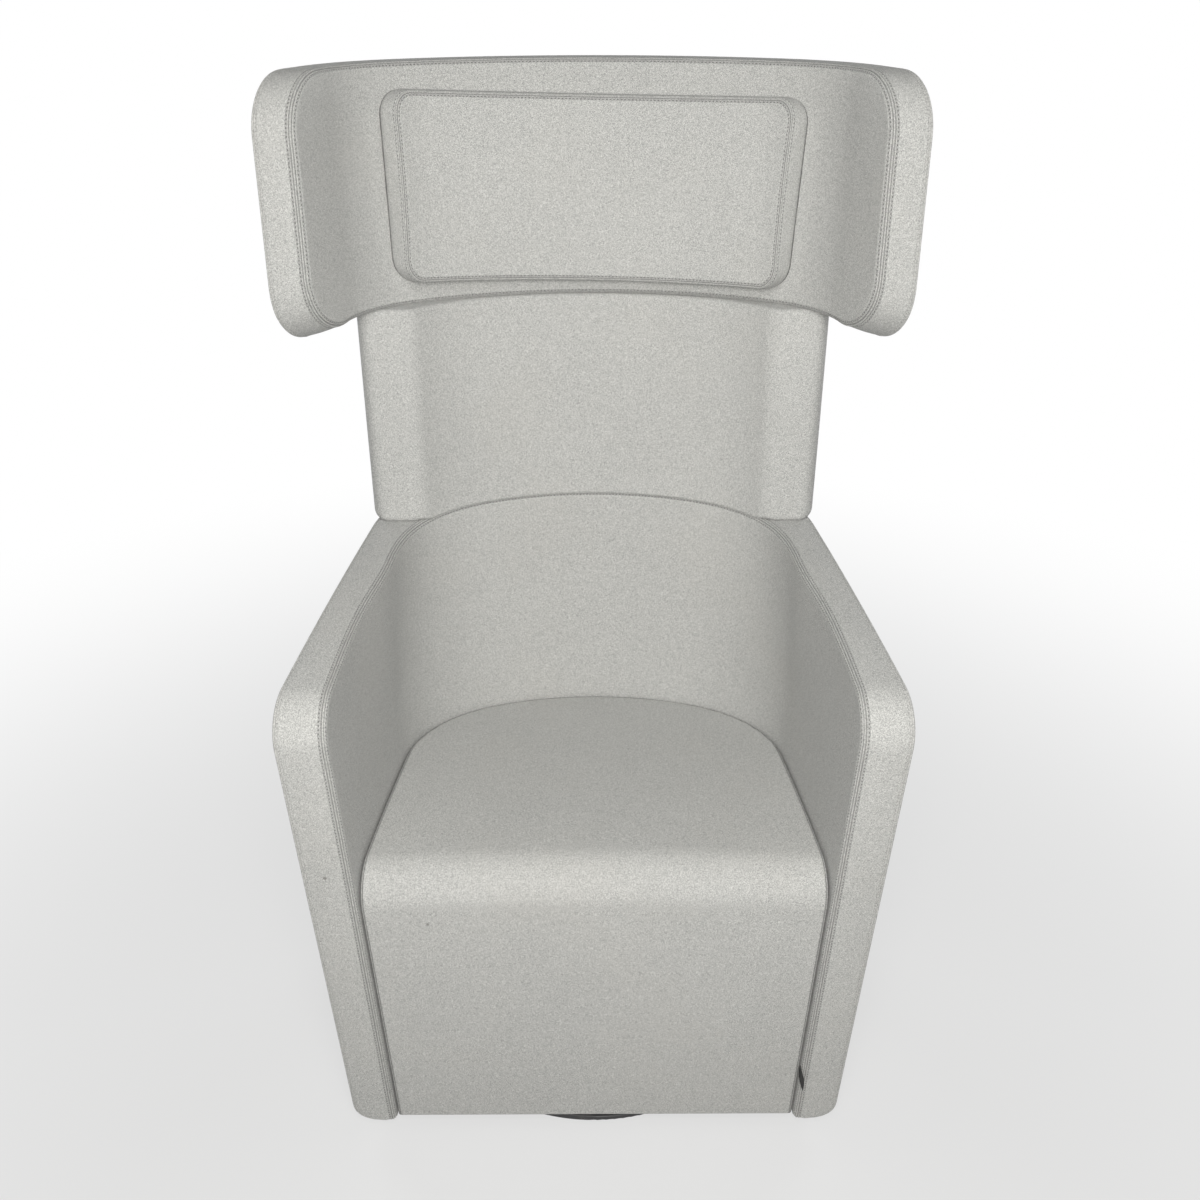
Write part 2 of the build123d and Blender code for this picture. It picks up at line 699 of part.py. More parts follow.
def seat_webbing():
    """Crossed straps that carry the seat foam."""
    low, high = DECK_TOP, DECK_TOP + WEB_T + GAP
    level = tub_inner(DECK_Z).offset(-WEB_IN)
    room = extrude(room_section(level, LEG_REAR + WEB_IN, low), amount=high - low + WEB_T)
    straps = [box(-WIDE, WIDE, y - WEB_W / 2, y + WEB_W / 2, low, low + WEB_T) for y in WEB_Y]
    straps += [box(x - WEB_W / 2, x + WEB_W / 2, -WIDE, WIDE, high, high + WEB_T) for x in WEB_X]
    return group([strap & room for strap in straps])


def seat_cleats():
    """Battens under the seat frame: one on each side panel and one on the back shell."""
    low = DECK_Z - CLEAT
    sections = [
        wall_section(tub_outer(z).offset(-SHELL_IN - GAP), tub_outer(z).offset(-SHELL_IN - GAP - CLEAT),
                     -WIDE, z)
        for z in (low, DECK_Z)
    ]
    batten = loft(sections, ruled=True)
    sides = batten & box(-WIDE, WIDE, LEG_REAR + GAP, CLEAT_REAR, low, DECK_Z)
    rear = batten & box(-CLEAT_BACK_HALF, CLEAT_BACK_HALF, CLEAT_REAR, WIDE, low, DECK_Z)
    return group([sides, rear])


def corner_brackets():
    """Steel angles between the side panels and the bottom board."""
    top = BOARD_TOP + BRACKET_LEG
    depth = SHELL_IN + GAP

    def layer(thick, high):
        sections = [
            wall_section(tub_outer(z).offset(-depth), tub_outer(z).offset(-depth - thick), -WIDE, z)
            for z in (BOARD_TOP, high)
        ]
        return loft(sections, ruled=True)

    angle = layer(BRACKET_T, top) + layer(BRACKET_LEG, BOARD_TOP + BRACKET_T)
    rows = [box(-WIDE, WIDE, y - BRACKET_W / 2, y + BRACKET_W / 2, 0, top + 1) for y in BRACKET_Y]
    return group([angle & row for row in rows])


# ---------------------------------------------------------------- steel uprights
def rear_of(line):
    """Where an upright's front face stands behind the shell of this plan line."""
    return line.rear - SHELL_OUT + BAR_PLAY


def front_of(line):
    """Where an upright's front face stands in front of the shell of this plan line."""
    return line.rear - SHELL_IN - BAR_PLAY - BAR_T


def bar_front():
    """Points of an upright's front face on the centre plane, from the bottom up."""
    head_low = HEAD_PLACE * Pos(0, rear_of(head_line(HEAD_OUTER, 0)), 0)
    head_high = HEAD_PLACE * Pos(0, rear_of(head_line(HEAD_OUTER, BAR_HIGH)), BAR_HIGH)
    return [
        yz(front_of(tub_outer(BAR_LOW)), BAR_LOW),
        yz(rear_of(mid_outer(MID_BASE_Z)), MID_BASE_Z),
        yz(head_low.position.Y, head_low.position.Z),
        yz(head_high.position.Y, head_high.position.Z),
    ]


def bar_on_centre(play, back=0.0):
    """An upright on the centre plane, or the wider slot that it stands in."""
    front = bar_front()
    shift = Vector(0, BAR_T + back, 0)
    ahead = Vector(0, -play, 0)
    outline = [point + ahead for point in front] + [point + shift for point in reversed(front)]
    return extrude(polygon(*outline), amount=BAR_W / 2 + play, dir=(1, 0, 0), both=True)


def on_bar(shape, sign):
    """Turns a shape from the centre plane to the right or the left upright."""
    hub = Axis((0, TUB_OUTER.rear - TUB_OUTER.back, 0), (0, 0, 1))
    return shape.rotate(hub, -sign * BAR_TURN)


def bar_face(z):
    """Frame on an upright's front face at height z, its Y axis square to the face."""
    points = bar_front()
    low, high = [pair for pair in zip(points, points[1:]) if pair[0].Z <= z <= pair[1].Z][0]
    slope = (high.Y - low.Y) / (high.Z - low.Z)
    return Pos(0, low.Y + slope * (z - low.Z), z) * Rot(-degrees(atan(slope)), 0, 0), cos(atan(slope))


def rod(radius, y0, y1, z=0.0):
    """A round bar along Y on the centre plane."""
    return Pos(0, (y0 + y1) / 2, z) * Rot(90, 0, 0) * Cylinder(radius, abs(y1 - y0))


def bolt_faces(z):
    """Where head and nut of the bolt at z lie on either side of upright and shell."""
    thick = bar_face(z)[1]
    if z < MID_BASE_Z:
        return 0.0, (BAR_T + BAR_PLAY + PLY) * thick + NUT_SEAT, 1
    return BAR_T * thick, -(BAR_PLAY + PLY) * thick - NUT_SEAT, -1


def bolt(z, play=0.0):
    """Bolt through an upright and the shell beside it."""
    head, seat, way = bolt_faces(z)
    shank = rod(BOLT_R + play, head, seat + way * BOLT_TAIL)
    return bar_face(z)[0] * (shank + rod(BOLT_HEAD_R + play, head - way * (BOLT_HEAD_T + play), head))


def nut(z, play=0.0):
    """Flanged nut on the far side of the shell."""
    _, seat, way = bolt_faces(z)
    disc = rod(NUT_R + play, seat - way * play, seat + way * (NUT_PLATE + play))
    return bar_face(z)[0] * (disc if play else disc - rod(BOLT_R, seat - 2 * PLY, seat + 2 * PLY))


def bolt_holes(levels):
    return group([
        on_bar(bar_face(z)[0] * rod(BOLT_R + SCREW_PLAY, -3 * PLY, 3 * PLY), sign)
        for z in levels for sign in (1, -1)
    ])


def spine_bar(sign):
    bar = on_bar(bar_on_centre(0.0), sign)
    return (bar - bolt_holes(ALL_BOLTS)).solids()[0]


def spine_bolts():
    return group([on_bar(bolt(z), sign) for z in ALL_BOLTS for sign in (1, -1)])


def spine_nuts():
    return group([on_bar(nut(z), sign) for z in ALL_BOLTS for sign in (1, -1)])


def spine_room(levels):
    """What the foams and covers leave open for the uprights, bolts and nuts."""
    shapes = [on_bar(bar_on_centre(GAP, BAR_BACK), sign) for sign in (1, -1)]
    shapes += [on_bar(bolt(z, GAP), sign) for z in levels for sign in (1, -1)]
    shapes += [on_bar(nut(z, GAP), sign) for z in levels for sign in (1, -1)]
    return shapes


def cut(shape, tools):
    for tool in tools:
        shape = shape - tool
    return shape


def largest(shape):
    return sorted(shape.solids(), key=lambda solid: solid.volume)[-1]


# ---------------------------------------------------------------- tub upholstery
def tub_foam():
    core = tub_form(COVER + GAP) - panel_pocket() - under_deck()
    return cut(core, spine_room(TUB_BOLTS))


def arm_foam(foam, sign):
    return largest(foam & ahead_of(SIDE_REAR_Y - GAP / 2) & side_of(sign))


def tub_back_foam(foam):
    return largest(foam & behind(SIDE_REAR_Y + GAP / 2))


def tub_cover():
    skin = tub_form(0.0) - tub_form(COVER) - under_deck()
    return largest(cut(skin, spine_room([])))


def seat_room(top):
    """Where the seat's felt and foam are left out for the front board and the seat frame."""
    low = UNDER
    depth = FASCIA
    outline = polygon(yz(front_y(low) + depth, low), yz(front_y(top) + depth, top), yz(WIDE, top),
                      yz(WIDE, low))
    return across(outline)


def seat_foam():
    return largest(seat_form(COVER + GAP) - seat_room(SEAT_BED))


def seat_cover():
    return largest(seat_form(0.0) - seat_form(COVER) - seat_room(DECK_TOP + GAP))


def fabric_tag():
    low, high = TAG_Z - TAG_TALL / 2, TAG_Z + TAG_TALL / 2
    near, far = GAP, GAP + TAG_T
    sections = [
        wall_section(tub_inner(z).offset(-near), tub_inner(z).offset(-far), -WIDE, z)
        for z in (low, high)
    ]
    root = front_y(TAG_Z) + SEAT_RECESS + TAG_ROOT
    return (loft(sections, ruled=True) & box(0, WIDE, root - TAG_W, root, low, high)).solids()[0]


# ---------------------------------------------------------------- middle back
def mid_layer(outer_depth, inner_depth, edge_in):
    low, high = ARM_MID_Z - EDGE, HEAD_Z + EDGE
    sections = [
        wall_section(mid_outer(z).offset(-outer_depth), mid_outer(z).offset(-inner_depth), 0, z)
        for z in (low, high)
    ]
    front = mid_ears(low, high, edge_in + EDGE)
    return (loft(sections, ruled=True) & front & across(mid_bounds(edge_in))).solids()[0]


def mid_back_shell():
    return (mid_layer(SHELL_OUT, SHELL_IN, PANEL_IN) - bolt_holes(MID_BOLTS)).solids()[0]


def mid_back_foam():
    core = mid_form(COVER + GAP) - mid_layer(SHELL_OUT - GAP, SHELL_IN + GAP, PANEL_IN - GAP)
    return largest(cut(core, spine_room(MID_BOLTS)))


def mid_back_cover():
    return largest(cut(mid_form(0.0) - mid_form(COVER), spine_room([])))


# ---------------------------------------------------------------- head band
def head_layer(outer_depth, inner_depth, edge_in):
    low, high = -WING_CORNER, HEAD_TALL + WING_CORNER
    sections = [
        wall_section(head_line(HEAD_OUTER, z).offset(-outer_depth),
                     head_line(HEAD_OUTER, z).offset(-inner_depth), WING_Y - WING_CORNER, z)
        for z in (low, high)
    ]
    return (loft(sections, ruled=True) & across(head_profile(edge_in))).solids()[0]


def stud(play=0.0, reach=0.0):
    """Studs that hold the pad board to the head shell, in the head band's frame."""
    radius = HEAD_INNER.back
    hub = Axis((0, HEAD_INNER.rear - radius, 0), (0, 0, 1))
    shell_front = HEAD_OUTER.rear - SHELL_IN
    shapes = []
    for level in (STUD_LOW, STUD_LOW + STUD_PITCH):
        drift = HEAD_FLARE * level
        pin = rod(STUD_R + play, drift - GAP - PAD_BOARD - reach, shell_front + drift + STUD_BITE, level)
        for sign in (1, -1):
            shapes.append(pin.rotate(hub, sign * STUD_TURN))
    return shapes


def head_shell():
    plain = HEAD_PLACE * cut(head_layer(SHELL_OUT, SHELL_IN, PANEL_IN), stud(SCREW_PLAY))
    return (plain - bolt_holes(HEAD_BOLTS)).solids()[0]


def head_foam():
    core = head_form(COVER + GAP) - head_layer(SHELL_OUT - GAP, SHELL_IN + GAP, PANEL_IN - GAP)
    placed = HEAD_PLACE * cut(core, stud(GAP))
    return largest(cut(placed, spine_room(HEAD_BOLTS)))


def head_cover():
    placed = HEAD_PLACE * cut(head_form(0.0) - head_form(COVER), stud(GAP))
    return largest(cut(placed, spine_room([])))


def pad_board():
    low, high = PAD_LOW + PAD_BOARD_IN, PAD_LOW + PAD_TALL - PAD_BOARD_IN
    sections = [pad_section(GAP + PAD_BOARD, GAP, PAD_BOARD_IN, z) for z in (low, high)]
    return (HEAD_PLACE * cut(loft(sections, ruled=True), stud(SCREW_PLAY))).solids()[0]


def pad_board_room():
    trim = PAD_BOARD_IN - GAP
    low, high = PAD_LOW + trim, PAD_LOW + PAD_TALL - trim
    return loft([pad_section(2 * GAP + PAD_BOARD, -COVER, trim, z) for z in (low, high)], ruled=True)


def pad_foam():
    return largest(HEAD_PLACE * (pad_rounded(COVER + GAP, GAP) - pad_board_room()))


def pad_cover():
    return largest(HEAD_PLACE * (pad_rounded(0.0, GAP) - pad_rounded(COVER, -COVER)))


def pad_studs():
    return group([HEAD_PLACE * pin for pin in stud()])


# ---------------------------------------------------------------- floor plate and swivel
PLATE_TOP = GLIDE_T + PLATE_T
RACE_R = (RACE_IN + RACE_OUT) / 2
BALL_Z = (PLATE_TOP + BOARD_Z) / 2


def ring_bolt_shanks(play=0.0):
    """Shanks that hold the upper ring to the bottom board."""
    spots = on_circle(RING_SCREWS, RING_SCREW_PCD / 2, 360 / RING_SCREWS / 2)
    return [post(RING_SCREW_R + play, BOARD_Z - RING_T, BOARD_TOP - RING_HEAD_T, x, y) for x, y in spots]


def ring_screw_shanks(play=0.0):
    """Shanks that hold the lower ring to the floor plate."""
    spots = on_circle(RING_SCREWS, RING_SCREW_PCD / 2)
    return [post(RING_SCREW_R + play, GLIDE_T + 1, PLATE_TOP + RING_T, x, y) for x, y in spots]


def groove():
    """Ball track shared by both rings."""
    return Pos(0, 0, BALL_Z) * Torus(RACE_R, BALL_R + BALL_PLAY)


def swivel_lower_ring():
    flange = ring(RING_OUT, RING_IN, PLATE_TOP, PLATE_TOP + RING_T)
    race = ring(RACE_OUT, RACE_IN, PLATE_TOP, BALL_Z - RACE_GAP / 2)
    return (flange + race - groove() - group(ring_screw_shanks(SCREW_PLAY))).solids()[0]


def swivel_upper_ring():
    flange = ring(RING_OUT, RING_IN, BOARD_Z - RING_T, BOARD_Z)
    race = ring(RACE_OUT, RACE_IN, BALL_Z + RACE_GAP / 2, BOARD_Z)
    return (flange + race - groove() - group(ring_bolt_shanks(SCREW_PLAY))).solids()[0]


def swivel_balls():
    return group([Pos(x, y, BALL_Z) * Sphere(BALL_R) for x, y in on_circle(BALLS, RACE_R)])


def ring_screws():
    top = PLATE_TOP + RING_T
    heads = [post(RING_HEAD_R, top, top + RING_HEAD_T, x, y)
             for x, y in on_circle(RING_SCREWS, RING_SCREW_PCD / 2)]
    return group([head + shank for head, shank in zip(heads, ring_screw_shanks())])


def ring_bolts():
    low = BOARD_Z - RING_T
    heads = [post(RING_HEAD_R, low - RING_HEAD_T, low, x, y)
             for x, y in on_circle(RING_SCREWS, RING_SCREW_PCD / 2, 360 / RING_SCREWS / 2)]
    return group([head + shank for head, shank in zip(heads, ring_bolt_shanks())])


def base_plate():
    plate = post(PLATE_R, GLIDE_T, PLATE_TOP)
    plate = plate.fillet(PLATE_EDGE, plate.edges().filter_by(GeomType.CIRCLE))
    return (plate - group(ring_screw_shanks(SCREW_PLAY))).solids()[0]


def base_glides():
    spots = [(0, 0)] + on_circle(GLIDES, GLIDE_RING)
    return group([post(GLIDE_R, 0, GLIDE_T, x, y) for x, y in spots])


BUSH_TOP = BOARD_TOP
WASHER_Z = BUSH_TOP + WASHER_PLAY
NUT_Z = WASHER_Z + WASHER_T


def pivot_post():
    foot = post(BUSH_FLANGE_R, PLATE_TOP, PLATE_TOP + POST_FOOT)
    return (foot + post(POST_R, PLATE_TOP, NUT_Z + NUT_T + POST_END)).solids()[0]


def pivot_bush():
    sleeve = ring(POST_R + POST_PLAY + BUSH_WALL, POST_R + POST_PLAY, BOARD_Z - BUSH_FLANGE, BUSH_TOP)
    return (sleeve + ring(BUSH_FLANGE_R, POST_R + POST_PLAY, BOARD_Z - BUSH_FLANGE, BOARD_Z)).solids()[0]


def retaining_washer():
    return ring(WASHER_R, POST_R, WASHER_Z, NUT_Z).solids()[0]


def retaining_nut():
    outline = RegularPolygon(NUT_SPAN / 2, 6, major_radius=False)
    hexagon = Pos(0, 0, NUT_Z) * extrude(outline, amount=NUT_T)
    return (hexagon - post(POST_R, 0, WIDE)).solids()[0]


def dust_cover():
    outline = extrude(room_section(tub_outer(BOARD_Z).offset(-SHELL_IN - GAP), -WIDE, BOARD_Z - DUST_T),
                      amount=DUST_T)
    return (outline & behind(LEG_REAR + GAP)).solids()[0] - post(DUST_HOLE_R, 0, WIDE)


# ---------------------------------------------------------------- nodes
def all_nodes():
    foam = tub_foam()
    return {
        "base_plate": base_plate(),
        "base_glides": base_glides(),
        "swivel_lower_ring": swivel_lower_ring(),
        "swivel_balls": swivel_balls(),
        "ring_screws": ring_screws(),
        "pivot_post": pivot_post(),
        "retaining_washer": retaining_washer(),
        "retaining_nut": retaining_nut(),
        "swivel_upper_ring": swivel_upper_ring(),
        "ring_bolts": ring_bolts(),
        "pivot_bush": pivot_bush(),
        "bottom_board": bottom_board(),
        "dust_cover": dust_cover(),
        "side_panel_left": side_panel(-1),
        "side_panel_right": side_panel(1),
        "tub_back_shell": tub_back_shell(),
        "front_board": front_board(),
        "corner_brackets": corner_brackets(),
        "seat_cleats": seat_cleats(),
        "seat_frame": seat_frame(),
        "seat_webbing": seat_webbing(),
        "seat_foam": seat_foam(),
        "seat_cover": seat_cover(),
        "arm_foam_left": arm_foam(foam, -1),
        "arm_foam_right": arm_foam(foam, 1),
        "tub_back_foam": tub_back_foam(foam),
        "tub_cover": tub_cover(),
        "mid_back_shell": mid_back_shell(),
        "mid_back_foam": mid_back_foam(),
        "mid_back_cover": mid_back_cover(),
        "head_shell": head_shell(),
        "head_foam": head_foam(),
        "head_cover": head_cover(),
        "pad_board": pad_board(),
        "pad_studs": pad_studs(),
        "pad_foam": pad_foam(),
        "pad_cover": pad_cover(),
        "spine_bar_left": spine_bar(-1),
        "spine_bar_right": spine_bar(1),
        "spine_bolts": spine_bolts(),
        "spine_nuts": spine_nuts(),
        "fabric_tag": fabric_tag(),
    }


for node, shape in all_nodes().items():
    export_step(shape, "parts/" + node + ".step")
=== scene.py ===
"""Looks of the acoustic high back lounge chair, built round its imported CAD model.

Shapes are worked out in millimetres in the chair's own frame and turned into metres as a mesh is made.
Each felt wall follows two plan lines, an inner and an outer one, that flare and lean with height.
"""

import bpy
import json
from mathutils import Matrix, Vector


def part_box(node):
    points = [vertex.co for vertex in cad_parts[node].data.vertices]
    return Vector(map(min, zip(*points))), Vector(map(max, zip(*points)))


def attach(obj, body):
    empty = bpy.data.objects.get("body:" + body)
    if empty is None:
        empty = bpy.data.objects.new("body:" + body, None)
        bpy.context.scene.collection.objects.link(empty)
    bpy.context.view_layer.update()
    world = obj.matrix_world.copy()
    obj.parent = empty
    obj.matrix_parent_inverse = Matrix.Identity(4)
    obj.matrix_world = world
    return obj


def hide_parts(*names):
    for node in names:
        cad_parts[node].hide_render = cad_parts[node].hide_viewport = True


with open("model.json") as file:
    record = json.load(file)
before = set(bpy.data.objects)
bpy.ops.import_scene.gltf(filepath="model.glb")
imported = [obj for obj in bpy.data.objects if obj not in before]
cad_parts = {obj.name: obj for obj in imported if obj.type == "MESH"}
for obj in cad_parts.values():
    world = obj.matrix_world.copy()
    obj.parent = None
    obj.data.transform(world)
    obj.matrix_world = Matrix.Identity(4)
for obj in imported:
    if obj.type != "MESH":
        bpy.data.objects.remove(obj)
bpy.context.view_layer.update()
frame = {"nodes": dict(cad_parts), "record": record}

import json
from collections import namedtuple
from math import atan2, cos, degrees, pi, radians, sin, sqrt, tan

import bmesh
import bpy
import numpy as np
from mathutils import Euler, Vector

bl_info = {
    "name": "Acoustic lounge chair",
    "version": (1, 0, 0),
    "blender": (4, 5, 0),
    "location": "View3D > Sidebar > Chair",
    "description": "Builds a felt covered high back lounge chair with its seams, stitches and finishes",
    "category": "Add Mesh",
}

MM = 0.001
BODY = "chair"
WELD = 0.000004     # points closer than this, in metres, become one


# ------------------------------------------------------------------ sizes and colours
def float_prop(name, description, default, **kind):
    return bpy.props.FloatProperty(name=name, description=description, default=default, min=0.0, **kind)


def length_prop(name, description, default):
    return float_prop(name, description, default, subtype="DISTANCE", unit="LENGTH")


def share_prop(name, description, default):
    return float_prop(name, description, default, subtype="FACTOR", max=1.0)


def power_prop(name, description, default):
    return float_prop(name, description, default, unit="POWER")


def colour_prop(name, description, default):
    return bpy.props.FloatVectorProperty(name=name, description=description, default=default, size=3,
                                         subtype="COLOR", min=0.0, max=1.0)


class ChairSeams(bpy.types.PropertyGroup):
    """Sizes of the twin needle seams and their stitches."""
    bead: length_prop("Bead", "Height of the raised bead in the middle of a seam", 0.0009)
    furrow: length_prop("Furrow", "Depth of the folds beside the bead", 0.0009)
    row: length_prop("Stitch row", "Distance of each stitch row from the middle of the seam", 0.0044)
    pitch: length_prop("Pitch", "Distance from one stitch to the next", 0.0045)
    stitch: length_prop("Stitch", "Length of one stitch", 0.0029)
    thread: length_prop("Thread", "Radius of the sewing thread", 0.00045)


class ChairFelt(bpy.types.PropertyGroup):
    """Colours of the melange wool felt."""
    pale: colour_prop("Pale fibres", "Colour of the palest wool", (0.645, 0.645, 0.63))
    deep: colour_prop("Deep fibres", "Colour of the darkest wool", (0.28, 0.283, 0.28))
    warm: colour_prop("Warm tinge", "Tinge where the felt has been handled", (0.50, 0.485, 0.455))
    thread: colour_prop("Thread", "Colour of the sewing thread", (0.62, 0.62, 0.61))
    nap: length_prop("Nap", "Depth of the felt's surface", 0.0005)
    wear: share_prop("Wear", "How much the handled places show", 0.35)


class ChairHardware(bpy.types.PropertyGroup):
    """Colours of the floor plate, the swivel and the frame."""
    coat: colour_prop("Powder coat", "Colour of the floor plate", (0.028, 0.028, 0.03))
    zinc: colour_prop("Zinc", "Colour of the plated steel", (0.56, 0.565, 0.57))
    ply: colour_prop("Plywood", "Colour of the raw plywood", (0.62, 0.45, 0.28))
    cloth: colour_prop("Black cloth", "Colour of the dust cover, straps and label", (0.018, 0.018, 0.019))


class ChairStage(bpy.types.PropertyGroup):
    """Floor, light and camera."""
    floor: colour_prop("Floor", "Colour of the floor", (0.42, 0.42, 0.42))
    near: share_prop("Near white", "Share of plain white that the camera sees in the floor by the chair", 0.6)
    front: power_prop("Front", "Power of the lamp at head height in front of the chair", 36.0)
    high: power_prop("High", "Power of the lamp above the camera", 14.0)
    rear: power_prop("Rear", "Power of each of the two lamps behind the chair", 34.0)
    sky: float_prop("Sky", "Strength of the light all round", 0.03)


# ------------------------------------------------------------------ plan lines
Arcs = namedtuple("Arcs", "half corner back hub start end x y")


class PlanWall:
    """One face of a wall: a mirrored plan line that flares and leans with height.

    along runs 0 to 1 on the straight side, 1 to 2 round the corner and 2 to 3 along the back. half, corner,
    back and rear are the half width at y = 0, the two radii and the back's y at the height level.
    """
    ahead, band_middle = -330.0, 140.0

    def __init__(self, half, angle, corner, back, rear, flare, lean, level, place=None):
        self.turn = radians(angle)
        self.base = np.array([half, corner, back, rear], float)
        self.flare, self.lean, self.level = flare, lean, level
        self.place = place
        middle = self.arcs(level if place is None else level + self.band_middle)
        self.runs = np.cumsum([0.0, middle.start - self.ahead, middle.corner * (middle.end - self.turn),
                               middle.back * (pi / 2 - middle.end)])

    def shifted(self, out):
        """The same face moved outward by out."""
        half, corner, back, rear = self.base
        return PlanWall(half + out / cos(self.turn), degrees(self.turn), corner + out, back + out, rear + out,
                        self.flare, self.lean, self.level, self.place)

    def sizes(self, z):
        rise = z - self.level
        grow = self.flare * rise
        half, corner, back, rear = self.base
        wide = half + grow / cos(self.turn) + tan(self.turn) * (self.lean - self.flare) * rise
        return wide, corner + grow, back + grow, rear + self.lean * rise

    def arcs(self, z):
        """The face's line at height z: start ends the straight side, end is the angle where the arcs meet."""
        half, corner, back, rear = self.sizes(z)
        c, s = cos(self.turn), sin(self.turn)
        hub = rear - back
        lead_x, lead_y = half - c * corner, -s * corner - hub
        reach = back - corner
        share = -s * lead_x + c * lead_y
        step = -share + np.sqrt(share ** 2 - lead_x ** 2 - lead_y ** 2 + reach ** 2)
        x, y = lead_x - s * step, lead_y + c * step
        end = np.arctan2(y, x)
        return Arcs(half, corner, back, hub, y + hub + s * corner, end, x, y + hub)

    def spot(self, along, z):
        """Right-hand point of the face and the direction that it faces."""
        half, corner, back, hub, start, end, x, y = self.arcs(z)
        side_y = self.ahead + (start - self.ahead) * along
        bend = self.turn + (end - self.turn) * np.clip(along - 1, 0, 1)
        sweep = end + (pi / 2 - end) * np.clip(along - 2, 0, 1)
        on_side, on_back = along <= 1, along > 2
        px = np.where(on_side, half - tan(self.turn) * side_y,
                      np.where(on_back, back * np.cos(sweep), x + corner * np.cos(bend)))
        py = np.where(on_side, side_y,
                      np.where(on_back, hub + back * np.sin(sweep), y + corner * np.sin(bend)))
        angle = np.where(on_side, self.turn, np.where(on_back, sweep, bend))
        return px, py, angle

    def along_of(self, run):
        return np.interp(run, self.runs, [0, 1, 2, 3])

    def run_of(self, along):
        return np.interp(along, [0, 1, 2, 3], self.runs)

    def along_at(self, y, z):
        """Where on the straight side the face passes y."""
        return (y - self.ahead) / (self.arcs(z).start - self.ahead)

    def x_at(self, y, z):
        """Half width at y, on the straight side or the corner, and the direction there."""
        half, corner, _, _, start, _, cx, cy = self.arcs(z)
        lift = np.clip((y - cy) / corner, -1, 1)
        on_side = y <= start
        return (np.where(on_side, half - tan(self.turn) * y, cx + corner * np.sqrt(1 - lift ** 2)),
                np.where(on_side, self.turn, np.arcsin(lift)))

    def points(self, run, z):
        x, y, _ = self.spot(self.along_of(run), z)
        found = np.stack([x, y, z + 0 * x], axis=-1)
        return self.place(found) if self.place else found


def at_level(wall, z, flare, lean):
    """A face that starts from another one's line at height z and has its own flare and lean."""
    half, corner, back, rear = wall.sizes(z)
    return PlanWall(half, degrees(wall.turn), corner, back, rear, flare, lean, z)


HEAD_Y, HEAD_Z, HEAD_LEAN = 236.0, 985.6, radians(6.5)


def head_place(points):
    """From the head band's own leaning frame to the chair's."""
    x, y, z = points[..., 0], points[..., 1], points[..., 2]
    return np.stack([x, HEAD_Y + y * cos(HEAD_LEAN) + z * sin(HEAD_LEAN),
                     HEAD_Z - y * sin(HEAD_LEAN) + z * cos(HEAD_LEAN)], axis=-1)


TUB_INNER = PlanWall(half=255.0, angle=4.6, corner=182.0, back=378.0, rear=186.0, flare=0.031, lean=0.060,
                     level=415.0)
TUB_OUTER = PlanWall(half=297.0, angle=8.2, corner=170.0, back=460.0, rear=270.0, flare=0.034, lean=0.046,
                     level=415.0)
# The middle back's rear stands MID_SET_IN ahead of the tub's, at MID_BASE, and leans to meet the head band's.
MID_BASE, MID_SET_IN = 717.0, 19.4
BAND_ANGLE, BAND_THICK = 19.5, 58.0
MID_REAR = float(TUB_OUTER.sizes(MID_BASE)[3]) - MID_SET_IN
HEAD_REAR = head_place(np.array([0.0, BAND_THICK, 0.0]))
MID_OUTER = PlanWall(half=311.5, angle=7.7, corner=140.0, back=450.0, rear=MID_REAR, flare=0.060,
                     lean=(HEAD_REAR[1] - MID_REAR) / (HEAD_REAR[2] - MID_BASE), level=MID_BASE)
MID_INNER = at_level(TUB_INNER, MID_BASE, flare=0.024, lean=0.121)


def band_face(half, corner, back, rear):
    """A face of the head band, in the band's own frame."""
    return PlanWall(half, BAND_ANGLE, corner, back, rear, flare=0.030, lean=0.0, level=0.0, place=head_place)


HEAD_INNER = band_face(233.0, 160.0, 450.0, 0.0)
HEAD_OUTER = band_face(291.5, 200.0, 490.0, BAND_THICK)
WING_INNER = band_face(240.5, 160.8, 450.8, 0.8)


# ------------------------------------------------------------------ side profiles
TUB_LOW, FRONT_Y, FRONT_LEAN = 15.0, -247.0, radians(4.0)
ARM_TIP, ARM_CORNER = 671.0, 54.0
ARM_MIDDLE, ARM_REAR = (105.0, 714.0), (330.0, 724.0)
HEAD_TALL, HEAD_LOW_SLOPE, HEAD_TOP_SLOPE = 282.0, 0.094, 0.104
WING_Y, WING_LOW, WING_HIGH, HEAD_DROP_Y, HEAD_DROP = -224.0, 62.0, 72.0, -120.0, 14.0


def front_y(z):
    return FRONT_Y - tan(FRONT_LEAN) * (z - TUB_LOW)


def circle_through(a, b, c):
    """Centre and radius of the circle through three points of the side view."""
    (ax, ay), (bx, by), (cx, cy) = a, b, c
    d = 2 * (ax * (by - cy) + bx * (cy - ay) + cx * (ay - by))
    a2, b2, c2 = ax * ax + ay * ay, bx * bx + by * by, cx * cx + cy * cy
    ux = (a2 * (by - cy) + b2 * (cy - ay) + c2 * (ay - by)) / d
    uy = (a2 * (cx - bx) + b2 * (ax - cx) + c2 * (bx - ax)) / d
    return ux, uy, sqrt((ax - ux) ** 2 + (ay - uy) ** 2)


ARM_HUB_Y, ARM_HUB_Z, ARM_REACH = circle_through((front_y(ARM_TIP), ARM_TIP), ARM_MIDDLE, ARM_REAR)


def arm_top(y):
    return ARM_HUB_Z + np.sqrt(ARM_REACH ** 2 - (y - ARM_HUB_Y) ** 2)


def head_top(y):
    return HEAD_TALL + HEAD_TOP_SLOPE * y


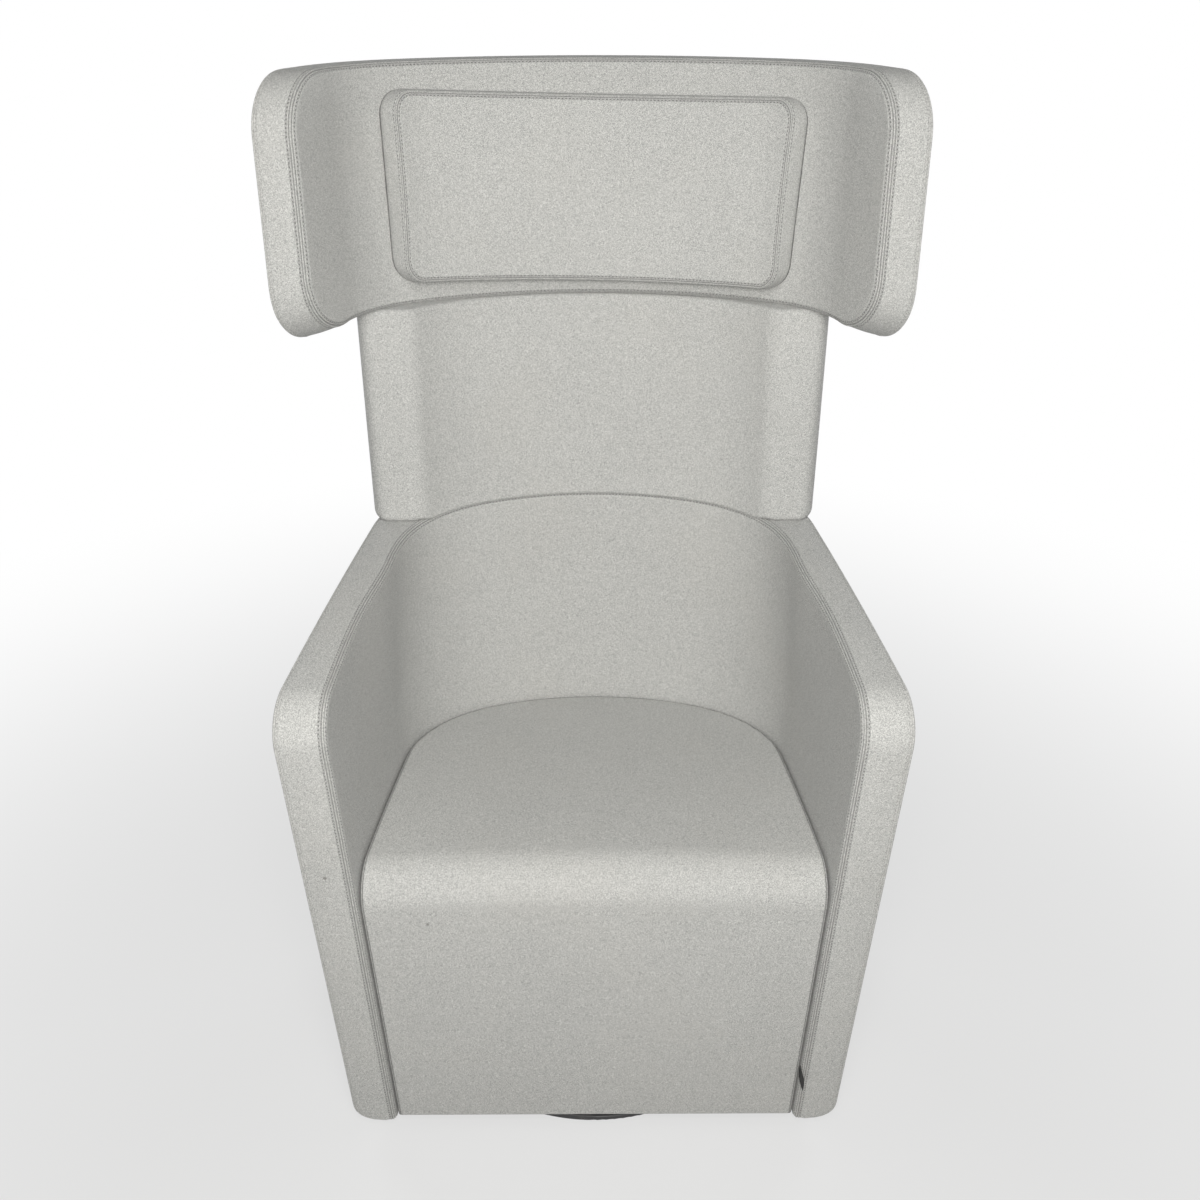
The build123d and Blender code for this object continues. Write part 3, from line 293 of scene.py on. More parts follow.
def head_low(y):
    """The band's lower edge, straight at the back and curving down towards the wing tips."""
    tip = HEAD_LOW_SLOPE * WING_Y - HEAD_DROP
    norm = sqrt(1 + HEAD_LOW_SLOPE ** 2)
    nx, nz = HEAD_LOW_SLOPE / norm, -1 / norm
    dx, dz = WING_Y - HEAD_DROP_Y, tip - HEAD_LOW_SLOPE * HEAD_DROP_Y
    radius = (dx * dx + dz * dz) / (2 * (dx * nx + dz * nz))
    hub_y, hub_z = HEAD_DROP_Y + nx * radius, HEAD_LOW_SLOPE * HEAD_DROP_Y + nz * radius
    ahead = np.minimum(y, HEAD_DROP_Y)
    bent = hub_z + np.sqrt(np.maximum(radius ** 2 - (ahead - hub_y) ** 2, 0))
    return np.where(y < HEAD_DROP_Y, bent, HEAD_LOW_SLOPE * y)


# Steps from either end of a rounded corner to its middle, where a felt wall's stretches meet.
ARC_MIDDLE = 20


def round_corner(front, lean, edge, radius, upper):
    """Arc from the straight front to an edge curve, as points of the side view."""
    sign = 1 if upper else -1
    margin = 60.0
    spread = np.linspace(front(0) - margin, front(0) + 4 * radius + margin, 6000)
    curve = np.stack([spread, edge(spread)], axis=-1)

    def middle(z):
        return np.array([front(z) + radius / cos(lean), z])

    level = float(edge(front(edge(front(0)))))
    far, near = level - sign * 3 * radius, level
    for _ in range(50):
        half = (far + near) / 2
        gap = np.linalg.norm(curve - middle(half), axis=1).min() - radius
        far, near = (half, near) if gap > 0 else (far, half)
    hub = middle((far + near) / 2)
    touch = curve[np.linalg.norm(curve - hub, axis=1).argmin()]
    first = atan2(-sin(lean), -cos(lean))
    last = atan2(touch[1] - hub[1], touch[0] - hub[0])
    turns = np.linspace(first % (2 * pi), last % (2 * pi), 2 * ARC_MIDDLE + 1)
    return hub + radius * np.stack([np.cos(turns), np.sin(turns)], axis=-1)


# ------------------------------------------------------------------ skins
def closed(data, weld):
    """Finishes a mesh: joins its grids where weld is set, turns its faces outward and shades it smoothly."""
    work = bmesh.new()
    work.from_mesh(data)
    if weld:
        bmesh.ops.remove_doubles(work, verts=work.verts, dist=WELD)
        bmesh.ops.dissolve_degenerate(work, edges=work.edges, dist=WELD)
    bmesh.ops.recalc_face_normals(work, faces=work.faces)
    work.to_mesh(data)
    work.free()
    data.polygons.foreach_set("use_smooth", [True] * len(data.polygons))
    data.update()
    return data


class Skin:
    """Grids of points that are welded into one closed mesh. marks hold how deep a point lies in a fold, the
    strength of the painted shade there.
    """

    def __init__(self):
        self.points, self.marks, self.faces, self.count = [], [], [], 0

    def grid(self, points, marks=None):
        rows, columns = points.shape[:2]
        index = self.count + np.arange(rows * columns).reshape(rows, columns)
        self.points.append(points.reshape(-1, 3))
        marks = np.zeros((rows, columns)) if marks is None else np.broadcast_to(marks, (rows, columns))
        self.marks.append(marks.reshape(-1))
        quads = np.stack([index[:-1, :-1], index[1:, :-1], index[1:, 1:], index[:-1, 1:]], axis=-1)
        self.faces += quads.reshape(-1, 4).tolist()
        self.count += rows * columns

    def plate(self, points):
        """One flat face through a ring of points."""
        self.points.append(points)
        self.marks.append(np.zeros(len(points)))
        self.faces.append(list(range(self.count, self.count + len(points))))
        self.count += len(points)

    def mirror(self):
        points = np.concatenate(self.points)
        marks = np.concatenate(self.marks)
        flipped = [[index + self.count for index in reversed(face)] for face in self.faces]
        self.points = [points, points * (-1, 1, 1)]
        self.marks = [marks, marks]
        self.faces += flipped
        self.count *= 2

    def mesh(self, name):
        data = bpy.data.meshes.new(name)
        data.from_pydata((np.concatenate(self.points) * MM).tolist(), [], self.faces)
        fold_shade = data.attributes.new("fold_shade", "FLOAT", "POINT")
        fold_shade.data.foreach_set("value", np.concatenate(self.marks).astype(np.float32))
        return closed(data, weld=True)


def add_sheet(skin, top, under, edges=(np.s_[0], np.s_[-1], np.s_[:, 0], np.s_[:, -1]), steps=1):
    """A thin closed sheet from its two faces, with steps across its thickness along these edges."""
    skin.grid(top)
    skin.grid(under)
    part = np.linspace(0, 1, steps + 1)[:, None, None]
    for edge in edges:
        skin.grid(top[edge] * (1 - part) + under[edge] * part)


def unit(vectors):
    return vectors / np.maximum(np.linalg.norm(vectors, axis=-1, keepdims=True), 1e-9)


def normals_of(grid, outward):
    """Unit normals of a grid of points, turned to agree with outward."""
    found = unit(np.cross(np.gradient(grid, axis=0), np.gradient(grid, axis=1)))
    side = np.sign(np.einsum("ijk,ijk->", found, np.broadcast_to(outward, found.shape)))
    return found * side


# Half of the twin seam's section: place across, height as a share of bead or furrow, and fold mark.
# The fold mark is the strength of the painted shade in the furrows and stitch holes.
SEAM_HALF = [(0.0, 1.0, 0.0), (0.5, 0.9, 0.0), (0.95, 0.35, 0.35), (1.45, -1.0, 0.75), (2.05, -0.5, 0.3),
             (2.6, 0.3, 0.0), (3.2, 0.3, 0.0), (3.75, -0.2, 0.5), (4.4, -0.9, 1.0), (5.05, -0.2, 0.5),
             (5.9, 0.0, 0.0)]
SEAM_SHAPE = [(-place, height, mark) for place, height, mark in SEAM_HALF[:0:-1]] + SEAM_HALF
SEAM_ROW = 4.4
SEWN = (4, 20)      # rows of seam_rows that hold the stitches


def seam_rows(seams, radius, shift=0.0, tight=1.0):
    """Places along a rounded edge, from its middle, with the seam's heights and fold marks, the strength of
    their painted shade.

    The seam's middle lies shift past the middle of the round.
    """
    bead, furrow = seams.bead / MM, seams.furrow / MM
    across = np.array([row[0] for row in SEAM_SHAPE]) * tight * (seams.row / MM) / SEAM_ROW + shift
    heights = [row[1] * (bead if row[1] > 0 else furrow) for row in SEAM_SHAPE]
    start, end = -radius * pi / 4, max(across[-1] + 0.7, radius * pi / 4)
    places = np.concatenate([[start, (start + across[0]) / 2], across, [end]])
    return places, np.array([0, 0, *heights, 0]), np.array([0, 0, *(row[2] for row in SEAM_SHAPE), 0])


def edge_round(near, corner, other, radius, places):
    """Rows round an edge of one radius, from a face towards the next one and on along it."""
    first = (near - corner) / radius
    second = unit(other - corner)
    turns = np.clip(pi / 4 + places / radius, 0, pi / 2)
    past = np.maximum(places - radius * pi / 4, 0)
    heart = corner + (first + second) * radius
    swing = first[:, None] * np.sin(turns)[None, :, None] + second[:, None] * np.cos(turns)[None, :, None]
    return heart[:, None] - radius * swing + second[:, None] * past[None, :, None]


def steps_of(line):
    """Running length at each point of a polyline."""
    return np.concatenate([[0], np.cumsum(np.linalg.norm(np.diff(line, axis=0), axis=1))])


def at_stops(line, steps, stops):
    """Points of a polyline at these stops of its running length."""
    return np.stack([np.interp(stops, steps, column) for column in line.T], axis=-1)


def stitch_line(rows, normals, pitch):
    """Evenly spread points on a polyline, pitch apart, with its directions and normals there."""
    steps = steps_of(rows)
    count = max(int(steps[-1] / pitch), 1)
    stops = (np.arange(count) + 0.5) * steps[-1] / count
    reach = 0.4
    ahead, behind = at_stops(rows, steps, stops + reach), at_stops(rows, steps, stops - reach)
    return at_stops(rows, steps, stops), unit(ahead - behind), unit(at_stops(normals, steps, stops))


def filled(low, high, left, right, climb, share):
    """Fills the area between four edges: climb runs from low to high, share from left to right."""
    s, t = climb[:, None, None], share[None, :, None]
    return ((1 - s) * low[None] + s * high[None] + (1 - t) * left[:, None] + t * right[:, None]
            - (1 - s) * ((1 - t) * low[0] + t * low[-1]) - s * ((1 - t) * high[0] + t * high[-1]))


class Stitches:
    """Many short stitches, each a slim bead of thread that dips into the felt at its ends.

    profile gives the place along the stitch, the thickness and the lift of each of its rings.
    """
    profile = ((-0.5, 0.35, -0.35), (-0.32, 0.9, 0.3), (0.0, 1.0, 0.55), (0.32, 0.9, 0.3), (0.5, 0.35, -0.35))
    sides = 6

    def __init__(self, seams):
        self.pitch, self.long, self.thick = seams.pitch / MM, seams.stitch / MM, seams.thread / MM
        self.points = []

    def line(self, rows, normals, mirrored=True):
        spots, ways, leans = stitch_line(rows, normals, self.pitch)
        across = unit(np.cross(ways, leans))
        beads = []
        for reach, size, lift in self.profile:
            for turn in np.arange(self.sides) * 2 * pi / self.sides:
                around = across * cos(turn) + leans * sin(turn)
                beads.append(spots + ways * reach * self.long + around * size * self.thick
                             + leans * lift * self.thick)
        block = np.stack(beads, axis=1)
        self.points.append(block)
        if mirrored:
            self.points.append(block * (-1, 1, 1))

    def make(self, name):
        blocks = np.concatenate(self.points)
        size = len(self.profile) * self.sides
        rings = np.arange(size).reshape(-1, self.sides)
        turned = np.roll(rings, -1, axis=1)
        quads = np.stack([rings[:-1], rings[1:], turned[1:], turned[:-1]], axis=-1).reshape(-1, 4)
        starts = size * np.arange(len(blocks))
        faces = (quads[None] + starts[:, None, None]).reshape(-1, 4).tolist()
        for first in starts.tolist():
            faces.append([first + turn for turn in range(self.sides)])
            faces.append([first + size - 1 - turn for turn in range(self.sides)])
        data = bpy.data.meshes.new(name)
        data.from_pydata((blocks.reshape(-1, 3) * MM).tolist(), [], faces)
        return closed(data, weld=False)


# ------------------------------------------------------------------ felt walls
class FeltWall:
    """A wall between two plan faces, trimmed by a side profile with a seam along both of its edges."""
    depth, outer_mark, dense, fine, foot_rows = 12.0, 0.3, 900, 700, 9
    droop_y, droop_z, droop_blend = -60.0, 120.0, 100.0
    pinch_y, pinch_wide, pinch_z, pinch_rise = 15.0, 95.0, 520.0, 180.0

    def __init__(self, inner, outer, upper, lower, nose, splits, counts, radius, blend, bulge, seam_shifts,
                 foot_round=0.0, droop=0.0, pinch=0.0):
        self.inner, self.outer, self.seam_shifts = inner, outer, dict(zip(("inner", "outer"), seam_shifts))
        self.upper, self.lower = upper, lower
        self.radius, self.blend, self.bulge, self.foot_round = radius, blend, bulge, foot_round
        self.droop, self.pinch = droop, pinch
        half, corner, back, rear = (inner.base + outer.base) / 2
        flare, lean = (inner.flare + outer.flare) / 2, (inner.lean + outer.lean) / 2
        middle = PlanWall(half, degrees(inner.turn + outer.turn) / 2, corner, back, rear, flare, lean,
                          inner.level, inner.place)
        self.build_stations(middle, nose, splits, counts)

    def edge_run(self, face, run, edge):
        """Heights of the trimmed edge at these runs of a face."""
        z = np.full(run.shape, float(edge(0.0)))
        for _ in range(6):
            z = edge(face.spot(face.along_of(run), z)[1])
        return z

    def build_stations(self, middle, nose, splits, counts):
        """Stations along the trimmed edge, each with its run and height on both faces."""
        def edge_part(run, edge):
            z = self.edge_run(middle, run, edge)
            return np.stack([run, z, middle.spot(middle.along_of(run), z)[1]], axis=-1)

        nose_run = middle.run_of(middle.along_at(nose[:, 0], nose[:, 1]))
        parts = [np.stack([nose_run, nose[:, 1], nose[:, 0]], axis=-1)]
        rear = middle.runs[-1]
        run = np.linspace(nose_run[-1], rear, self.dense)[1:]
        parts.append(edge_part(run, self.upper))
        shift = 0
        if self.lower is not None:
            run = np.linspace(rear, nose_run[0], self.dense)[:-1]
            parts.insert(0, edge_part(run, self.lower))
            shift = len(run)
        dense = np.concatenate(parts)
        spots = np.stack([*middle.spot(middle.along_of(dense[:, 0]), dense[:, 1])[:2], dense[:, 1]], axis=-1)
        steps = steps_of(spots)
        marks = [steps[shift + split] for split in splits] + [steps[-1]]
        marks = marks if self.lower is None else [0.0] + marks
        stops = [np.linspace(a, b, count + 1)[(1 if number else 0):]
                 for number, (a, b, count) in enumerate(zip(marks[:-1], marks[1:], counts))]
        if self.foot_round:
            rise = self.foot_round / cos(FRONT_LEAN) * (1 - np.cos(np.linspace(0, pi / 2, self.foot_rows)))
            above = np.linspace(marks[0] + rise[-1], marks[1], counts[0] + 2 - self.foot_rows)
            stops[0] = np.concatenate([marks[0] + rise, above[1:]])
        self.counts = [len(stops[0]) - 1] + [len(stop) for stop in stops[1:]]
        stops = np.concatenate(stops)
        run, z, y = at_stops(dense, steps, stops).T
        at_nose = np.interp([shift, shift + len(nose) - 1], np.arange(len(steps)), steps)
        away = np.maximum(np.maximum(at_nose[0] - stops, stops - at_nose[1]), 0) / self.blend
        share = np.clip(away, 0, 1)
        share = share * share * (3 - 2 * share)
        edge_kind = np.where(stops < at_nose[0] - 1e-6, -1, np.where(stops > at_nose[1] + 1e-6, 1, 0))
        self.stations = {}
        for name, face in (("inner", self.inner), ("outer", self.outer)):
            mine = self.matched(face, middle, run, z, y, share)
            height = z.copy()
            for sign, edge in ((1, self.upper), (-1, self.lower)):
                if edge is not None:
                    height = np.where(edge_kind == sign, self.edge_run(face, mine, edge), height)
            if name == "outer" and self.droop:
                y_there = face.spot(face.along_of(mine), height)[1]
                ahead = np.clip((self.droop_y - y_there) / self.droop_blend, 0, 1)
                low = np.clip((self.droop_z - height) / self.droop_blend, 0, 1)
                height = height - self.droop * ahead * low
            self.stations[name] = (mine, height)

    def matched(self, face, middle, run, z, y, share):
        """Runs on a face square across from the middle's stations, but level with them at the nose."""
        mx, my, angle = middle.spot(middle.along_of(run), z)
        spread = np.linspace(0, 3, self.fine)
        fx, fy, _ = face.spot(spread[None, :], z[:, None])
        miss = (fy - my[:, None]) * np.cos(angle)[:, None] - (fx - mx[:, None]) * np.sin(angle)[:, None]
        before = np.clip((miss < 0).sum(axis=1) - 1, 0, len(spread) - 2)
        row = np.arange(len(z))
        a, b = miss[row, before], miss[row, before + 1]
        part = np.clip(a / (a - b + 1e-12), 0, 1)
        square = face.run_of(spread[before] + part * (spread[before + 1] - spread[before]))
        level = face.run_of(np.clip(face.along_at(y, z), 0, 1))
        both = np.where(share > 0, square * share + level * (1 - share), level)
        return np.where(run >= middle.runs[-1] - 1e-6, face.runs[-1], both)

    def inset(self, face, name, amount):
        """The trimmed edge drawn into the face by amount, as runs and heights."""
        run, z = self.stations[name]
        way = np.stack([np.gradient(run), np.gradient(z)], axis=-1)
        way /= np.linalg.norm(way, axis=1, keepdims=True)
        into = np.stack([way[:, 1], -way[:, 0]], axis=-1)
        at_rear = run >= face.runs[-1] - 1e-6
        upper = np.arange(len(run)) > len(run) / 2
        into[at_rear] = np.where(upper[at_rear][:, None], (0.0, -1.0), (0.0, 1.0))
        if self.lower is None:
            into[0] = (1 / cos(FRONT_LEAN), 0.0)
        return run + into[:, 0] * amount, z + into[:, 1] * amount

    def rows_into(self, name, seams):
        """Rows from inside one face round its rounded edge, with heights and fold marks."""
        face = getattr(self, name)
        facing = "outer" if name == "inner" else "inner"
        corner = face.points(*self.stations[name])
        across = getattr(self, facing).points(*self.stations[facing])
        deep = [face.points(*self.inset(face, name, amount)) for amount in (self.depth, self.depth * 0.85)]
        near = face.points(*self.inset(face, name, self.radius))
        places, heights, marks = seam_rows(seams, self.radius, self.seam_shifts[name])
        arc = edge_round(near, corner, across, self.radius, places)
        rows = np.concatenate([np.stack(deep, axis=1), arc], axis=1)
        return rows, np.concatenate([[0, 0], heights]), np.concatenate([[0, 0], marks]), arc[:, -1]

    def pinched(self, points, weight):
        """Draws the upper inner edge of the arms in a little behind their middle."""
        if not self.pinch:
            return points
        behind = np.exp(-((points[..., 1] - self.pinch_y) / self.pinch_wide) ** 2)
        high = np.clip((points[..., 2] - self.pinch_z) / self.pinch_rise, 0, 1)
        moved = points.copy()
        moved[..., 0] -= np.sign(points[..., 0]) * self.pinch * behind * high * weight
        return moved

    def foot_shift(self, points, weight):
        """Rounds the outer foot: draws points in below foot_round."""
        if not self.foot_round:
            return points
        reach = self.foot_round
        lack = np.clip(TUB_LOW + reach - points[..., 2], 0, reach)
        drop = reach - np.sqrt(np.maximum(reach ** 2 - lack ** 2, 0))
        x, y = points[..., 0], points[..., 1]
        _, _, _, hub, start, end, cx, cy = self.outer.arcs(points[..., 2])
        bend = np.arctan2(y - cy, np.abs(x) - cx)
        angle = np.where(bend < end, bend, np.arctan2(y - hub, np.abs(x)))
        angle = np.where(y < start, self.outer.turn, angle)
        moved = points.copy()
        moved[..., 0] -= np.where(x < 0, -1, 1) * np.cos(angle) * drop * weight * (np.abs(x) > 1e-6)
        moved[..., 1] -= np.where(y < start, 0, np.sin(angle)) * drop * weight
        return moved

    def face_grid(self, name):
        """Fills one face inside its edge rows."""
        face = getattr(self, name)
        run, z = self.inset(face, name, self.depth)
        if self.lower is None:
            nose, top = self.counts[0], self.counts[1]
            front = np.stack([run[:nose + 1], z[:nose + 1]], axis=-1)
            high = np.stack([run[nose:], z[nose:]], axis=-1)
            share = (high[:, 0] - high[0, 0]) / (high[-1, 0] - high[0, 0])
            low_run = front[0, 0] + share * (high[-1, 0] - front[0, 0])
            low = np.stack([low_run, np.full(top + 1, TUB_LOW)], axis=-1)
        else:
            first, nose = self.counts[0], self.counts[1]
            low = np.stack([run[:first + 1], z[:first + 1]], axis=-1)[::-1]
            front = np.stack([run[first:first + nose + 1], z[first:first + nose + 1]], axis=-1)
            high = np.stack([run[first + nose:], z[first + nose:]], axis=-1)
        climb = (front[:, 1] - front[0, 1]) / (front[-1, 1] - front[0, 1])
        rear_z = low[-1, 1] + climb * (high[-1, 1] - low[-1, 1])
        rear = np.stack([np.full(len(climb), face.runs[-1]), rear_z], axis=-1)
        patch = filled(low, high, front, rear, np.linspace(0, 1, len(front)), np.linspace(0, 1, len(low)))
        return face.points(patch[..., 0], patch[..., 1])

    def build(self, seams, name, stitches):
        """The closed skin of the wall, and its stitches."""
        skin = Skin()
        inner, lift, mark, inner_edge = self.rows_into("inner", seams)
        outer, outer_lift, outer_mark, outer_edge = self.rows_into("outer", seams)
        share = np.linspace(0, 1, 9)[1:-1]
        flat = inner_edge[:, None] * (1 - share[None, :, None]) + outer_edge[:, None] * share[None, :, None]
        rows = np.concatenate([inner, flat, outer[:, ::-1]], axis=1)
        lifts = np.concatenate([lift, self.bulge * np.sin(pi * share), outer_lift[::-1]])
        # Painted shade in the seam's furrows and stitch holes, weaker on the outer face by outer_mark.
        marks = np.concatenate([mark, 0 * share, self.outer_mark * outer_mark[::-1]])
        weights = np.concatenate([0 * lift, share, 0 * lift + 1])
        outward = np.zeros(rows.shape)
        middle = inner.shape[1] + len(share) // 2
        outward[:, middle] = rows[:, middle] - (rows[:, 0] + rows[:, -1]) / 2
        normals = normals_of(rows, outward)
        run = self.stations["inner"][0]
        at_rear = run >= self.inner.runs[-1] - 1e-6
        normals[at_rear, :, 0] = 0
        normals = unit(normals)
        lifted = rows + normals * lifts[None, :, None]
        lifted[at_rear, :, 0] = 0
        if self.lower is None:
            lifted[0, :, 2] = TUB_LOW
        lifted = self.pinched(self.foot_shift(lifted, weights[None, :]), 1 - weights[None, :])
        skin.grid(lifted, marks)
        for number in SEWN:
            for row in (2 + number, rows.shape[1] - 3 - number):
                stitches.line(lifted[:, row], normals[:, row])
        inner_face = self.pinched(self.face_grid("inner"), 1.0)
        outer_face = self.foot_shift(self.face_grid("outer"), 1.0)
        skin.grid(inner_face)
        skin.grid(outer_face)
        if self.lower is None:
            skin.grid(np.stack([inner_face[0], outer_face[0]]))
            skin.plate(lifted[0])
        skin.mirror()
        return skin.mesh(name)


def tub_wall():
    z = np.linspace(TUB_LOW, ARM_TIP - 90.0, 300)
    arc = round_corner(front_y, FRONT_LEAN, arm_top, ARM_CORNER, True)
    keep = z < arc[0, 1] - 1
    nose = np.concatenate([np.stack([front_y(z[keep]), z[keep]], axis=-1), arc])
    split = int(keep.sum()) + ARC_MIDDLE
    return FeltWall(TUB_INNER.shifted(0.3), TUB_OUTER.shifted(-1.5), arm_top, None, nose,
                    splits=(0, split), counts=(118, 150), radius=8.0, blend=60.0, bulge=0.9,
                    seam_shifts=(1.5, 1.0), foot_round=26.0, pinch=13.0)


def head_wall():
    def front(z):
        return WING_Y

    low = round_corner(front, 0.0, head_low, WING_LOW, False)[::-1]
    high = round_corner(front, 0.0, head_top, WING_HIGH, True)
    z = np.linspace(low[-1, 1], high[0, 1], 120)[1:-1]
    nose = np.concatenate([low, np.stack([0 * z + WING_Y, z], axis=-1), high])
    splits = (ARC_MIDDLE, len(low) + len(z) + ARC_MIDDLE)
    return FeltWall(WING_INNER, HEAD_OUTER.shifted(-2.0), head_top, head_low, nose,
                    splits=splits, counts=(130, 64, 130), radius=7.0, blend=26.0, bulge=0.6,
                    seam_shifts=(3.0, 1.0), droop=15.0)


# ------------------------------------------------------------------ middle back
class MiddleBack:
    """The curved back between the arms and the head band, with full round ears at its front."""
    ear_outer, ear_inner, rim, gap, proud, sunk, foot, ear_less = 20.0, 38.0, 5.0, 0.6, 3.5, 3.0, 15.0, 7.0
    ears_y, ears_lean, ears_z, tall = 109.0, 0.125, 714.0, 260.0

    def high(self, y):
        return HEAD_Z - self.gap - (tan(HEAD_LEAN) - HEAD_LOW_SLOPE) * (y - HEAD_Y)

    def low(self, y):
        return arm_top(y) - self.sunk

    def half_loop(self, z, inset):
        """Right half of the plan section, outer rear to inner rear, at heights z, one for each point."""
        outer, inner = MID_OUTER.shifted(-inset), MID_INNER.shifted(inset - self.proud)
        points = np.zeros((self.total, 2))
        for face, wall, sign, ear in ((self.on_outer, outer, 1, self.ear_outer),
                                      (self.on_inner, inner, -1, self.ear_inner)):
            height, radius = z[face], ear - inset
            ear_y = self.ears_y + inset + self.ears_lean * (height - self.ears_z)
            hub_y = ear_y + radius
            hub_x, angle = wall.shifted(-sign * radius).x_at(hub_y, height)
            touch_y = hub_y + radius * np.sin(angle) * sign
            ratio = self.ratio[face]
            first = np.where(touch_y < wall.arcs(height).start, wall.along_at(touch_y, height),
                             self.on_corner(wall, touch_y, height))
            along = first + (3 - first) * np.clip(ratio, 0, 1)
            x, y, _ = wall.spot(along, height)
            turn = np.clip(-ratio, 0, 1)
            opened = angle if sign > 0 else angle - pi
            swing = opened * (1 - turn) + turn * (-pi / 2)
            arc_x, arc_y = hub_x + radius * np.cos(swing), hub_y + radius * np.sin(swing)
            points[face, 0] = np.where(ratio >= 0, x, arc_x)
            points[face, 1] = np.where(ratio >= 0, y, arc_y)
        return points

    @staticmethod
    def on_corner(wall, y, z):
        arcs = wall.arcs(z)
        bend = np.arcsin(np.clip((y - arcs.y) / arcs.corner, -1, 1))
        return 1 + (bend - wall.turn) / (arcs.end - wall.turn)

    def build(self, name):
        side = np.concatenate([np.linspace(1, 0, 61), -np.linspace(0, 1, 13)[1:]])
        self.ratio = np.concatenate([side, side[::-1]])
        self.total = len(self.ratio)
        self.on_outer = np.arange(self.total) < len(side)
        self.on_inner = ~self.on_outer
        bends = np.linspace(pi / 2, 0, 9)
        rounds = [(self.rim * (1 - cos(bend)), self.rim * (1 - sin(bend))) for bend in bends]
        shares = (*np.linspace(0, 0.1, 11)[1:], *np.linspace(0.1, 1, 42)[1:-1])
        rows = [(inset, 0.0, lift) for inset, lift in rounds]
        rows += [(0.0, share, 0.0) for share in shares]
        rows += [(inset, 1.0, -lift) for inset, lift in reversed(rounds)]
        found = []
        for inset, share, lift in rows:
            z = np.full(self.total, MID_BASE + share * self.tall)
            rim = self.rim if 0 < share < 1 else 0.0
            for _ in range(8):
                y = self.half_loop(z, inset)[:, 1]
                low, high = self.low(y) + rim, self.high(y) - rim
                z = low + share * (high - low) + lift
            points = self.half_loop(z, inset)
            found.append(np.column_stack([points, z]))
        grid = np.stack(found)
        turned = np.clip(-self.ratio, 0, 1)
        near_ear = np.clip(1.3 - 2.6 * self.ratio, 0.2, 1)
        reach = np.where(self.on_outer, self.foot * near_ear - self.ear_less * turned,
                         (self.foot - self.ear_less) * np.clip(3 * turned, 0, 1))
        lack = np.clip(reach + arm_top(grid[..., 1]) - grid[..., 2], 0, reach)
        drawn = reach - np.sqrt(np.maximum(reach ** 2 - lack ** 2, 0))
        grid -= normals_of(grid, grid - grid.mean(axis=(0, 1)) * (1, 1, 0)) * drawn[..., None]
        grid[:, [0, -1], 0] = 0
        skin = Skin()
        skin.grid(grid)
        half = self.total // 2
        for row in (0, -1):
            skin.grid(np.stack([grid[row, :half], grid[row, ::-1][:half]]))
        skin.mirror()
        return skin.mesh(name)


